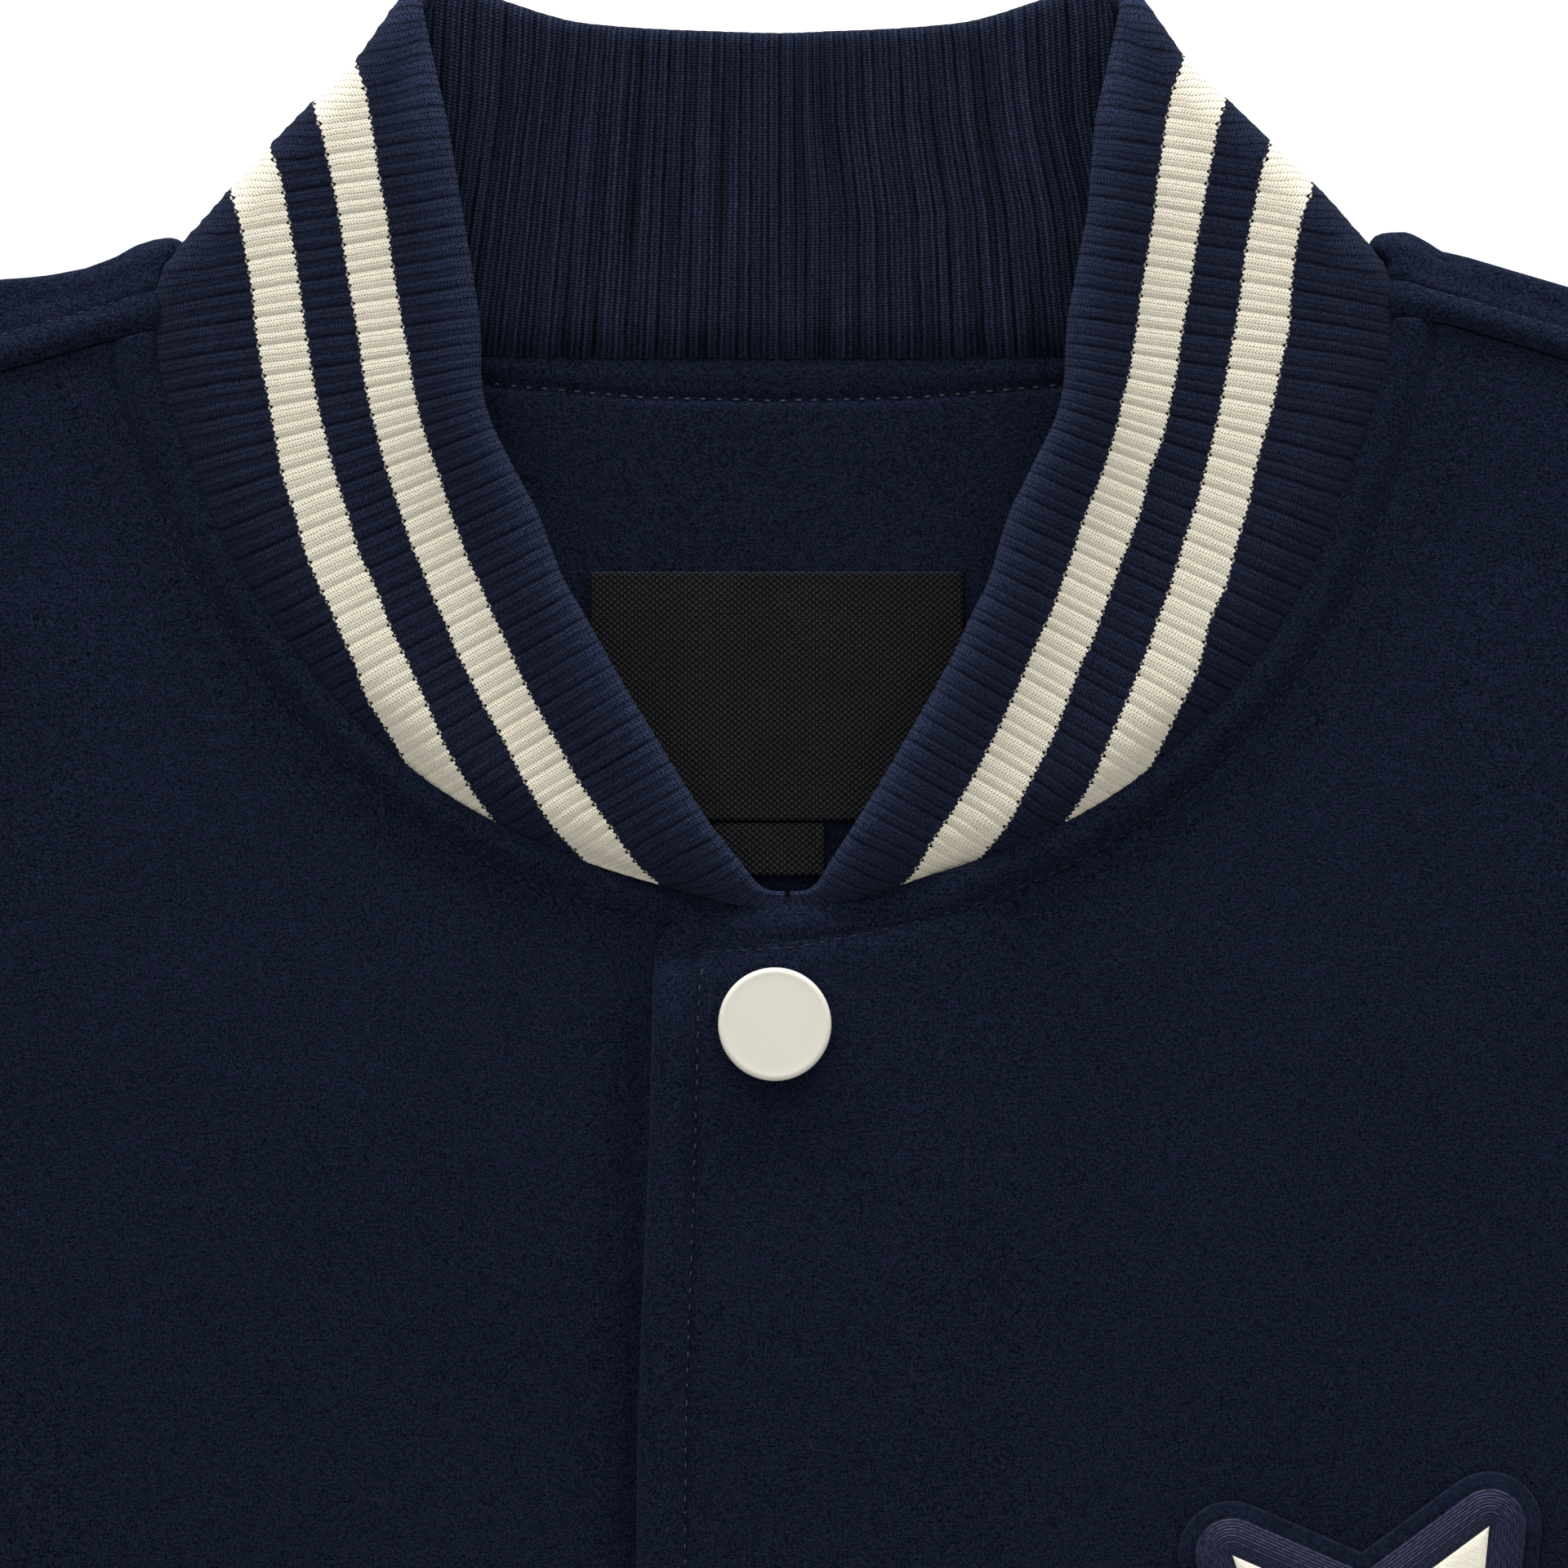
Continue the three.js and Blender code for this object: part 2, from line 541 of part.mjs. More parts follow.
// ---------------------------------------------------------------- snap caps
for (let k = 0; k < SNAP.count; k++) {
  const y = SNAP.first - k * SNAP.pitch;
  const z = frontHeight(1, SNAP.x, y, 30) + OVERLAP_CLOTH / 2 + GAP;
  const { r, t } = SNAP;
  const profile = [[0, 0], [r - 0.5, 0], [r, 0.6], [r, t - 0.9], [r - 0.3, t - 0.35], [r - 1.1, t], [r - 1.8, t - 0.25], [0, t - 0.25]].map(([x, h]) => new THREE.Vector2(x, h));
  const cap = new THREE.LatheGeometry(profile, 28);
  cap.rotateX(Math.PI / 2);
  cap.translate(SNAP.x, y, z);
  add("snap_" + (k + 1), cap, COLOR.snap, { roughness: 0.35 });
}

// ---------------------------------------------------------------- chest star
{
  const tips = [];
  for (let k = 0; k < 10; k++) {
    const a = Math.PI / 2 - STAR.tilt + (k * Math.PI) / 5;
    const q = k % 2 ? STAR.r * STAR.inner : STAR.r;
    tips.push(new THREE.Vector2(STAR.x + q * Math.cos(a), STAR.y + q * Math.sin(a)));
  }
  const sides = tips.map((p, k) => {
    const d = tips[(k + 1) % 10].clone().sub(p).normalize();
    return new THREE.Vector2(d.y, -d.x);
  });
  // The outline moved out by grow, round at the five tips.
  const star = (grow) => {
    const pts = [];
    tips.forEach((p, k) => {
      const before = sides[(k + 9) % 10];
      const after = sides[k];
      const even = before.clone().add(after).multiplyScalar(1 / (1 + before.dot(after)));
      if (k % 2 || grow <= 0) return pts.push(p.clone().addScaledVector(even, grow));
      const from = before.angle();
      const turn = (after.angle() - from + 4 * Math.PI) % (2 * Math.PI);
      for (let i = 0; i <= 6; i++) pts.push(p.clone().add(new THREE.Vector2(grow, 0).rotateAround(new THREE.Vector2(), from + (turn * i) / 6)));
    });
    return pts;
  };
  const face = FOLD_Z + FOLD_R + MELTON / 2 + GAP;
  const slab = (name, outer, hole, z, t, color) => {
    const shape = new THREE.Shape(outer);
    if (hole) shape.holes.push(new THREE.Path(hole));
    const geometry = new THREE.ExtrudeGeometry(shape, { depth: t, bevelEnabled: false });
    geometry.translate(0, 0, z);
    add(name, geometry, color);
  };
  slab("patch_base", star(STAR.border + STAR.margin), null, face, STAR.felt, COLOR.felt);
  slab("patch_star", star(-GAP), null, face + STAR.felt + GAP, STAR.felt, COLOR.cream);
  slab("patch_border", star(STAR.border), star(0), face + STAR.felt + GAP, 1.2, COLOR.thread);
}

// Middle of the underside to the origin.
const box = new THREE.Box3().setFromObject(garment);
garment.position.set(-(box.min.x + box.max.x) / 2, -(box.min.y + box.max.y) / 2, -box.min.z);

export default jacket;
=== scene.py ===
# A snapped-closed varsity jacket lying flat, seen from straight above at its neck.
# Shapes are worked out in millimetres in the garment's own frame (high points of the
# shoulders on y = 0, centre front on x = 0, up is +z) and stored in metres in the row frame.
import math
import bpy
import numpy as np
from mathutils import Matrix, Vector
from mathutils.bvhtree import BVHTree


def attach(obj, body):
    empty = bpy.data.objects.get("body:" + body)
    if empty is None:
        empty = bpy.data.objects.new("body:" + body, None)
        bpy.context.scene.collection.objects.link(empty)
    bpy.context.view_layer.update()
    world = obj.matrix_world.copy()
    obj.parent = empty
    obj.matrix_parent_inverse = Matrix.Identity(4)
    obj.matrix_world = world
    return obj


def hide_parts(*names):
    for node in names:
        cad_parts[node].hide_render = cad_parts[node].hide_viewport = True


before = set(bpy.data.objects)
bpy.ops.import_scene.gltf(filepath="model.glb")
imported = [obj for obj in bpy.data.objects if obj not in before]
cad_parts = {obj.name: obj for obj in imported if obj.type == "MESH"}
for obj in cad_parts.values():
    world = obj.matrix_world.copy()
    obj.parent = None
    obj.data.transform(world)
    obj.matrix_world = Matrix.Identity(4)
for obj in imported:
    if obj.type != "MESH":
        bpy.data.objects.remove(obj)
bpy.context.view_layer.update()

ROW_Y = 329.996  # garment y + this = row y

# ---------------------------------------------------------------- sizes, as in the CAD
MELTON = 2.0
RIB = 4.6
RIB_BAND = 3.6
GAP = 0.3
FOLD_R = 1.8
FOLD_Z = 2.8
NECK_HALF = 101.7
SHOULDER = (250.0, -42.0)
UNDERARM_Y = -285.0
WAIST_Y = -640.0
HEM_Y = -700.0
SEAM_FORWARD = 12.7
PLACKET = 20.7
TAB = 45.0
OVERLAP_Z = 7.5
OVERLAP_CLOTH = 3.2
NECK_LIFT = 1.3
HEM_LIFT = 0.7
CUFF_R = 2.2
CUFF_LENGTH = 60.0
STAR_X, STAR_Y, STAR_R, STAR_INNER, STAR_TILT, STAR_BORDER, STAR_MARGIN = 97.9, -240.0, 36.0, 0.47, 0.515, 6.0, 2.6
SNAP_R, SNAP_T, SNAP_X, SNAP_FIRST, SNAP_PITCH, SNAP_COUNT = 9.2, 2.8, -0.8, -127.0, 108.0, 6
RIB_PITCH = 4.77  # one rib: five wales, two and three between the grooves
RIB_DEPTH = 0.23
COURSE = 0.5

SIDE = np.array([
    (-42, 250), (-80, 241), (-120, 236.5), (-160, 236), (-200, 241), (-235, 252), (-262, 268),
    (-285, 290), (-330, 293), (-400, 292), (-480, 291), (-560, 289), (-610, 283), (-640, 268),
], float)
# Inner edge of a front, and the height at which each row meets the armhole or side.
FRONT_ROWS = np.array([
    (102.4, -13.6, -54.6), (101.6, -22, -66), (97.2, -34, -80), (90, -49.5, -100),
    (79.7, -65.2, -120), (66.2, -80.2, -140), (49.3, -92.6, -160), (28, -101.8, -175),
    (3.3, -107.6, -188), (-14, -109, -200), (-19.3, -113, -211), (-20.7, -121, -222),
    (-20.7, -148, -235), (-20.7, -185, -262), (-20.7, -220, -285), (-20.7, -280, -335),
    (-20.7, -365, -410), (-20.7, -460, -490), (-20.7, -560, -570), (-20.7, -610, -613),
    (-20.7, -639.8, -639.8), (-20.7, -670, -670), (-20.7, -700, -700),
], float)
BACK_ROWS = np.array([
    (-42, 1), (-80, 0.76), (-120, 0.54), (-160, 0.36), (-200, 0.2), (-235, 0.1), (-262, 0.04),
    (-285, 0), (-345, 0), (-430, 0), (-520, 0), (-595, 0), (-639.8, 0),
], float)
BACK_NECK = np.array([(0, -19.7), (22, -19.2), (45, -17.2), (68, -13.6), (88, -9.5), (101.7, 0)], float)
SLEEVE = np.array([
    (250, -42, 290, -285), (286, -52, 312, -297), (325, -71, 345, -313), (375, -103, 392, -336),
    (435, -146, 445, -362), (510, -200.5, 505, -391), (590, -258.7, 565, -420),
    (660, -309.6, 615, -443), (698, -338, 642, -439), (711.1, -348.6, 656.6, -426.6),
    (716, -352, 661.5, -430),
], float)

# Collar band: fold edge and neck seam, laid out flat, from the centre front to where the
# band folds over, and from there to the centre back in the plane of the back.
COLLAR_FRONT = np.array([
    (0.3, -105.5, 0.4, -107.7), (3.0, -105.3, 5, -107.4), (5.0, -104.0, 9.8, -106.9),
    (7.1, -100.9, 17, -104.8), (11, -95, 26, -102.2), (15, -88.8, 34, -99.3), (20.4, -80, 45, -94.2), (26, -70.7, 55.6, -88.3),
    (32, -60, 66.5, -79), (35.3, -54.3, 72, -73.8), (39.3, -44, 80.2, -63.8),
    (42, -38.9, 84.4, -58.4), (46.8, -29.3, 92.2, -45.6), (48.4, -22.4, 97, -33.4),
    (48.7, -13.3, 101, -20.3), (50.7, 0, 102, -8.5), (52.9, 13.3, 104.2, 4.8),
    (55.1, 26.7, 106.6, 18), (57.4, 40, 110.7, 31.2),
], float)
COLLAR_BACK = np.array([
    (44.8, 38, 52.5, -16.9), (25.3, 35.9, 29, -18.6), (8, 35.1, 9, -19.4), (0, 34.9, 0, -19.6),
], float)
FOLD_POINT = np.array([57.4, 40.0])
FOLD_OUT = np.array([0.71, 0.705]) / np.hypot(0.71, 0.705)
FOLD_TURN = 2.55
STRIPES = [(12.2, 19.8), (28.1, 35.6)]
BAND_STRIPES = [(12.0, 20.0), (28.0, 36.0)]


# ---------------------------------------------------------------- helpers
def mix(a, b, t):
    return a + (b - a) * t


def smooth(a, b, v):
    t = np.clip((np.asarray(v, float) - a) / (b - a), 0, 1)
    return t * t * (3 - 2 * t)


def bell(v, middle, width):
    return np.exp(-(((np.asarray(v, float) - middle) / width) ** 2))


def catmull(rows, k):
    """Rows of numbers, smoothly at the places k (0 to the last row's number)."""
    rows = np.asarray(rows, float)
    n = len(rows) - 1
    k = np.asarray(k, float)
    i = np.clip(np.floor(k).astype(int), 0, n - 1)
    t = (k - i)[..., None]
    p0, p1 = rows[np.maximum(i - 1, 0)], rows[i]
    p2, p3 = rows[i + 1], rows[np.minimum(i + 2, n)]
    return 0.5 * (2 * p1 + (p2 - p0) * t + (2 * p0 - 5 * p1 + 4 * p2 - p3) * t**2 + (3 * p1 - p0 - 3 * p2 + p3) * t**3)


def by_length(rows, columns):
    """(place k, length so far) tables along a smooth curve, measured in the given columns."""
    k = np.linspace(0, len(rows) - 1, (len(rows) - 1) * 60 + 1)
    p = catmull(rows, k)[:, columns]
    s = np.concatenate([[0], np.cumsum(np.linalg.norm(np.diff(p, axis=0), axis=1))])
    return k, s


def side_x(y):
    return np.interp(-np.asarray(y, float), -SIDE[:, 0], SIDE[:, 1])


def back_neck_y(x):
    return np.interp(x, BACK_NECK[:, 0], BACK_NECK[:, 1])


def neck_rise(x):
    """How far the band's inner edge lies above the neckline at the middle of the back."""
    return 1.9 * (1 - smooth(0, 60, np.abs(x)))


def side_fold(y):
    return 1 - smooth(UNDERARM_Y - 4, UNDERARM_Y + 26, y)


def rounded(d, r):
    """Half thickness, as a part of the whole, at the distance d from a rounded edge."""
    t = np.clip(np.asarray(d, float) / r, 0, 1)
    return np.sqrt(np.maximum(0, 1 - (1 - t) ** 2))


def edge_steps(r, n=3):
    return [r * (1 - math.cos(math.pi / 2 * i / n)) for i in range(n + 1)]


def segment_distance(p, a, b):
    """(distance to a segment, place along it 0 to 1) of points p[..., 2]."""
    a, b = np.asarray(a, float), np.asarray(b, float)
    d = b - a
    t = np.clip(((p - a) @ d) / (d @ d), 0, 1)
    return np.linalg.norm(p - (a + t[..., None] * d), axis=-1), t


def distance_to(p, line, chunk=4000):
    """Distance of points p[..., 2] to a fine polyline."""
    flat = p.reshape(-1, 2)
    out = np.empty(len(flat))
    a, b = line[:-1], line[1:]
    d = b - a
    dd = (d * d).sum(1) + 1e-12
    for i in range(0, len(flat), chunk):
        q = flat[i : i + chunk, None, :] - a[None]
        t = np.clip((q * d[None]).sum(2) / dd[None], 0, 1)
        out[i : i + chunk] = np.sqrt((((q - t[..., None] * d[None])) ** 2).sum(2).min(1))
    return out.reshape(p.shape[:-1])


# ---------------------------------------------------------------- meshes
def finish_piece(obj, material, nodes=()):
    if isinstance(material, (list, tuple)):
        for m in material:
            obj.data.materials.append(m)
    else:
        obj.data.materials.append(material)
    bpy.context.scene.collection.objects.link(obj)
    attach(obj, "root")
    if nodes:
        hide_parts(*nodes)
    return obj


def make_mesh(name, verts, faces, uvs, material, nodes=(), soft=True):
    """faces is a list of (n, 3) or (n, 4) index arrays, and uvs the matching (n, k, 2) arrays."""
    v = np.asarray(verts, float).copy()
    v[:, 1] += ROW_Y
    v /= 1000
    used = np.zeros(len(v), bool)
    for f in faces:
        used[f.ravel()] = True
    renumber = np.cumsum(used) - 1
    v = v[used]
    faces = [renumber[f] for f in faces]
    mesh = bpy.data.meshes.new(name)
    mesh.vertices.add(len(v))
    mesh.vertices.foreach_set("co", v.astype(np.float32).ravel())
    loops = np.concatenate([f.ravel() for f in faces]).astype(np.int32)
    totals = np.concatenate([np.full(len(f), f.shape[1]) for f in faces]).astype(np.int32)
    starts = np.concatenate([[0], np.cumsum(totals)[:-1]]).astype(np.int32)
    mesh.loops.add(len(loops))
    mesh.loops.foreach_set("vertex_index", loops)
    mesh.polygons.add(len(totals))
    mesh.polygons.foreach_set("loop_start", starts)
    mesh.polygons.foreach_set("loop_total", totals)
    mesh.polygons.foreach_set("use_smooth", np.full(len(totals), soft))
    if uvs is not None:
        layer = mesh.uv_layers.new(name="cloth")
        layer.data.foreach_set("uv", np.concatenate([u.reshape(-1, 2) for u in uvs]).astype(np.float32).ravel())
    mesh.update(calc_edges=True)
    mesh.validate()
    return finish_piece(bpy.data.objects.new(name, mesh), material, nodes)


def normals_of(M, ring):
    if ring:
        du = np.empty_like(M)
        du[:, 1:-1] = M[:, 2:] - M[:, :-2]
        du[:, 0] = du[:, -1] = M[:, 1] - M[:, -2]
    else:
        du = np.gradient(M, axis=1)
    n = np.cross(du, np.gradient(M, axis=0))
    return n / (np.linalg.norm(n, axis=2, keepdims=True) + 1e-12)


def shell(name, M, up, down, material, nodes=(), uv=None, uv_down=None, mask=None, ring=False, up_at=None):
    """Cloth of two faces round the middle surface M[row, column]: up above it, along its
    normals, and down below. In a ring the last column repeats the first. up_at is a place
    where the upper face looks up."""
    M = np.asarray(M, float)
    rows, cols = M.shape[:2]
    up = np.broadcast_to(up, (rows, cols)).astype(float)
    down = np.broadcast_to(down, (rows, cols)).astype(float)
    if uv is None:
        uv = M[..., :2]
    if uv_down is None:
        uv_down = uv
    mask = np.ones((rows - 1, cols - 1), bool) if mask is None else mask
    n = normals_of(M, ring)
    j, i = up_at if up_at else (rows // 2, cols // 2)
    good = n[j, i, 2] > 0
    if not good:
        M, up, down, uv, uv_down, mask, n = M[::-1], up[::-1], down[::-1], uv[::-1], uv_down[::-1], mask[::-1], -n[::-1]
    top = M + n * up[..., None]
    low = M - n * down[..., None]
    verts = np.concatenate([top.reshape(-1, 3), low.reshape(-1, 3)])
    index = np.arange(rows * cols).reshape(rows, cols)
    if ring:
        index = index.copy()
        index[:, -1] = index[:, 0]
    shut = (up + down) < 1e-4
    below = np.where(shut, index, index + rows * cols)
    if ring:
        below[:, -1] = below[:, 0]
    a, b, c, d = index[:-1, :-1], index[:-1, 1:], index[1:, 1:], index[1:, :-1]
    e, f, g, h = below[:-1, :-1], below[:-1, 1:], below[1:, 1:], below[1:, :-1]

    def corners(u):
        return [u[:-1, :-1], u[:-1, 1:], u[1:, 1:], u[1:, :-1]]

    ua, ub, uc, ud = corners(uv)
    ue, uf, ug, uh = corners(uv_down)
    faces = [np.stack([a, b, c, d], -1)[mask], np.stack([h, g, f, e], -1)[mask]]
    uvs = [np.stack([ua, ub, uc, ud], -2)[mask], np.stack([uh, ug, uf, ue], -2)[mask]]
    whole = np.zeros((rows + 1, cols + 1), bool)
    whole[1:-1, 1:-1] = mask
    if ring:
        whole[1:-1, 0] = mask[:, -1]
        whole[1:-1, -1] = mask[:, 0]
    here = whole[1:-1, 1:-1]
    for gone, q, uq in (
        (here & ~whole[:-2, 1:-1], (e, f, b, a), (ue, uf, ub, ua)),
        (here & ~whole[2:, 1:-1], (g, h, d, c), (ug, uh, ud, uc)),
        (here & ~whole[1:-1, :-2], (h, e, a, d), (uh, ue, ua, ud)),
        (here & ~whole[1:-1, 2:], (f, g, c, b), (uf, ug, uc, ub)),
    ):
        q = np.stack(q, -1)[gone]
        uq = np.stack(uq, -2)[gone]
        first, second = q[:, 0] == q[:, 3], q[:, 1] == q[:, 2]
        keep = ~first & ~second
        faces.append(q[keep]), uvs.append(uq[keep])
        one = first & ~second
        faces.append(q[one][:, [0, 1, 2]]), uvs.append(uq[one][:, [0, 1, 2]])
        one = ~first & second
        faces.append(q[one][:, [0, 1, 3]]), uvs.append(uq[one][:, [0, 1, 3]])
    faces, uvs = zip(*[(x, y) for x, y in zip(faces, uvs) if len(x)])
    return make_mesh(name, verts, list(faces), list(uvs), material, nodes)


def strands(name, starts, ends, radius, lift, material, sides=6):
    """Short lengths of thread, each a fat capsule that dips into the cloth at both ends."""
    starts, ends = np.asarray(starts, float), np.asarray(ends, float)
    at = np.array([0, 0.12, 0.32, 0.5, 0.68, 0.88, 1.0])
    arch = np.array([-0.9, 0.1, 0.85, 1.0, 0.85, 0.1, -0.9])
    width = np.array([0.25, 0.8, 1.0, 1.0, 1.0, 0.8, 0.25])
    along = ends - starts
    length = np.linalg.norm(along, axis=1, keepdims=True)
    u = along / length
    side = np.stack([-u[:, 1], u[:, 0], np.zeros(len(u))], 1)
    side /= np.linalg.norm(side, axis=1, keepdims=True)
    up = np.cross(u, side)
    verts, faces, uvs = [], [], []
    ang = np.arange(sides) * 2 * math.pi / sides
    n, m = len(starts), len(at)
    P = np.zeros((n, m, sides, 3))
    for q in range(m):
        c = starts + along * at[q] + np.array([0, 0, 1.0]) * (arch[q] * lift)
        for s in range(sides):
            P[:, q, s] = c + (side * math.cos(ang[s]) + up * math.sin(ang[s]) * 0.8) * radius * width[q]
    index = np.arange(n * m * sides).reshape(n, m, sides)
    nxt = np.roll(index, -1, 2)
    quads = np.stack([index[:, :-1], nxt[:, :-1], nxt[:, 1:], index[:, 1:]], -1).reshape(-1, 4)
    caps = [index[:, 0, ::-1].reshape(-1, sides), index[:, -1].reshape(-1, sides)]
    uvq = np.zeros((len(quads), 4, 2))
    length_of = (at[None, :] * length).reshape(n, m, 1) * np.ones((1, 1, sides))
    turn = np.broadcast_to(ang / (2 * math.pi), (n, m, sides))
    flat = np.stack([length_of, turn], -1).reshape(-1, 2)
    uvq = flat[quads]
    return make_mesh(name, P.reshape(-1, 3), [quads, *caps], [uvq, *[flat[c] for c in caps]], material)


# ---------------------------------------------------------------- materials
class Nodes:
    """A material's node tree, written as calls."""

    def __init__(self, name):
        self.mat = bpy.data.materials.new(name)
        self.mat.use_nodes = True
        self.tree = self.mat.node_tree
        self.shader = self.tree.nodes["Principled BSDF"]
        self.output = self.tree.nodes["Material Output"]

    def node(self, kind, **props):
        n = self.tree.nodes.new(kind)
        for k, v in props.items():
            setattr(n, k, v)
        return n

    def put(self, socket, value):
        if hasattr(value, "is_output"):
            self.tree.links.new(value, socket)
        elif value is not None:
            if hasattr(socket.default_value, "__len__") and len(socket.default_value) == 4 and len(value) == 3:
                value = (*value, 1)
            socket.default_value = value

    def math(self, op, a, b=None, c=None, clamp=False):
        n = self.node("ShaderNodeMath", operation=op, use_clamp=clamp)
        for s, v in zip(n.inputs, (a, b, c)):
            if v is not None:
                self.put(s, v)
        return n.outputs[0]

    def mixed(self, fac, a, b):
        n = self.node("ShaderNodeMix", data_type="RGBA")
        self.put(n.inputs["Factor"], fac)
        self.put(n.inputs[6], a)
        self.put(n.inputs[7], b)
        return n.outputs[2]

    def ramp(self, value, lo, hi, out_lo=0.0, out_hi=1.0, soft=True):
        n = self.node("ShaderNodeMapRange", interpolation_type="SMOOTHSTEP" if soft else "LINEAR")
        self.put(n.inputs[0], value)
        for k, v in zip(range(1, 5), (lo, hi, out_lo, out_hi)):
            self.put(n.inputs[k], v)
        return n.outputs[0]

    def place(self, scale=(1, 1, 1), turn=0.0, uv=None):
        """Coordinates in millimetres, from the object's own or from a UV map."""
        if uv:
            src = self.node("ShaderNodeUVMap", uv_map=uv).outputs[0]
            k = 1.0
        else:
            src = self.node("ShaderNodeTexCoord").outputs["Object"]
            k = 1000.0
        n = self.node("ShaderNodeMapping")
        self.put(n.inputs["Vector"], src)
        n.inputs["Scale"].default_value = [k * s for s in scale]
        n.inputs["Rotation"].default_value = (0, 0, turn)
        return n.outputs[0]

    def noise(self, at, scale, detail=2.0, rough=0.5, distort=0.0, dims="3D"):
        n = self.node("ShaderNodeTexNoise", noise_dimensions=dims)
        self.put(n.inputs["Vector"], at)
        n.inputs["Scale"].default_value = scale
        n.inputs["Detail"].default_value = detail
        n.inputs["Roughness"].default_value = rough
        n.inputs["Distortion"].default_value = distort
        return n.outputs["Fac"]

    def bump(self, height, strength, distance, below=None):
        n = self.node("ShaderNodeBump")
        self.put(n.inputs["Height"], height)
        n.inputs["Strength"].default_value = strength
        n.inputs["Distance"].default_value = distance / 1000
        if below is not None:
            self.put(n.inputs["Normal"], below)
        return n.outputs[0]

    def split(self, vector):
        n = self.node("ShaderNodeSeparateXYZ")
        self.put(n.inputs[0], vector)
        return n.outputs[0], n.outputs[1], n.outputs[2]

    def set(self, **sockets):
        for k, v in sockets.items():
            self.put(self.shader.inputs[k.replace("_", " ")], v)
        return self.mat


def wool(name, dark, light, streak=0.5):
    """Milled wool: short matted fibres in every direction, with a faint cloudiness."""
    n = Nodes(name)
    mm = n.place()
    fibre = n.noise(n.place(scale=(1.0, 0.5, 1.0), turn=0.3), 2.9, 4, 0.75, 0.8)
    cross = n.noise(n.place(scale=(0.45, 1.1, 1.0), turn=-0.5), 2.5, 4, 0.75, 0.6)
    felted = n.math("ADD", n.math("MULTIPLY", fibre, streak), n.math("MULTIPLY", cross, 1 - streak))
    fine = n.noise(mm, 3.4, 2, 0.6)
    cloud = n.noise(mm, 0.03, 3, 0.5)
    patch = n.noise(mm, 0.5, 3, 0.6)
    tint = n.noise(n.place(turn=0.6), 0.9, 3, 0.65)
    level = n.math("ADD", n.ramp(felted, 0.4, 0.6, 0, 0.8, False), n.ramp(fine, 0.3, 0.7, -0.4, 0.68, False))
    level = n.math("ADD", level, n.math("ADD", n.ramp(cloud, 0.3, 0.7, -0.03, 0.03), n.ramp(patch, 0.3, 0.7, -0.05, 0.05)))
    level = n.math("POWER", n.math("MAXIMUM", level, 0.0), 1.3)
    colour = n.mixed(level, dark, light)
    warm = n.mixed(level, tuple(d * f for d, f in zip(dark, (1.3, 0.95, 1.05))), tuple(c * f for c, f in zip(light, (1.18, 0.93, 1.02))))
    cool = n.mixed(level, tuple(d * f for d, f in zip(dark, (0.8, 1.05, 0.98))), tuple(c * f for c, f in zip(light, (0.84, 1.07, 0.98))))
    colour = n.mixed(n.ramp(tint, 0.38, 0.62), warm, cool)
    lint = n.ramp(n.noise(n.place(scale=(1, 1, 1), turn=0.9), 1.35, 2, 0.5), 0.79, 0.85)
    colour = n.mixed(n.math("MULTIPLY", lint, 0.5), colour, tuple(3.0 * c for c in light))
    bumps = n.bump(patch, 0.12, 0.5)
    bumps = n.bump(felted, 0.6, 0.45, bumps)
    return n.set(
        Base_Color=colour,
        Roughness=1.0,
        Specular_IOR_Level=0.015,
        Sheen_Weight=0.03,
        Sheen_Roughness=0.55,
        Sheen_Tint=(0.3, 0.42, 0.7, 1.0),
        Normal=bumps,
    )


def stripe_mask(n, w, groove, wale, stripes):
    """1 in the stripes that run at the distances w. Their edge steps back in the grooves
    and a little at each wale."""
    edge = n.math("SUBTRACT", 0.12, n.math("MULTIPLY", groove, 0.34))
    edge = n.math("ADD", edge, n.math("MULTIPLY", n.math("COSINE", n.math("MULTIPLY", wale, 2 * math.pi)), -0.13))
    total = None
    for lo, hi in stripes:
        into = n.ramp(n.math("ADD", w, edge), lo - 0.08, lo + 0.08)
        outof = n.ramp(n.math("SUBTRACT", w, edge), hi - 0.08, hi + 0.08, 1, 0)
        one = n.math("MULTIPLY", into, outof)
        # Loops of the light yarn that show in the grooves beside the stripe.
        for at in (lo - 0.28, hi + 0.28):
            near = n.ramp(n.math("ABSOLUTE", n.math("SUBTRACT", w, at)), 0.1, 0.22, 0.6, 0)
            one = n.math("MAXIMUM", one, n.math("MULTIPLY", near, n.ramp(groove, 0.55, 0.8)))
        total = one if total is None else n.math("MAXIMUM", total, one)
    return total


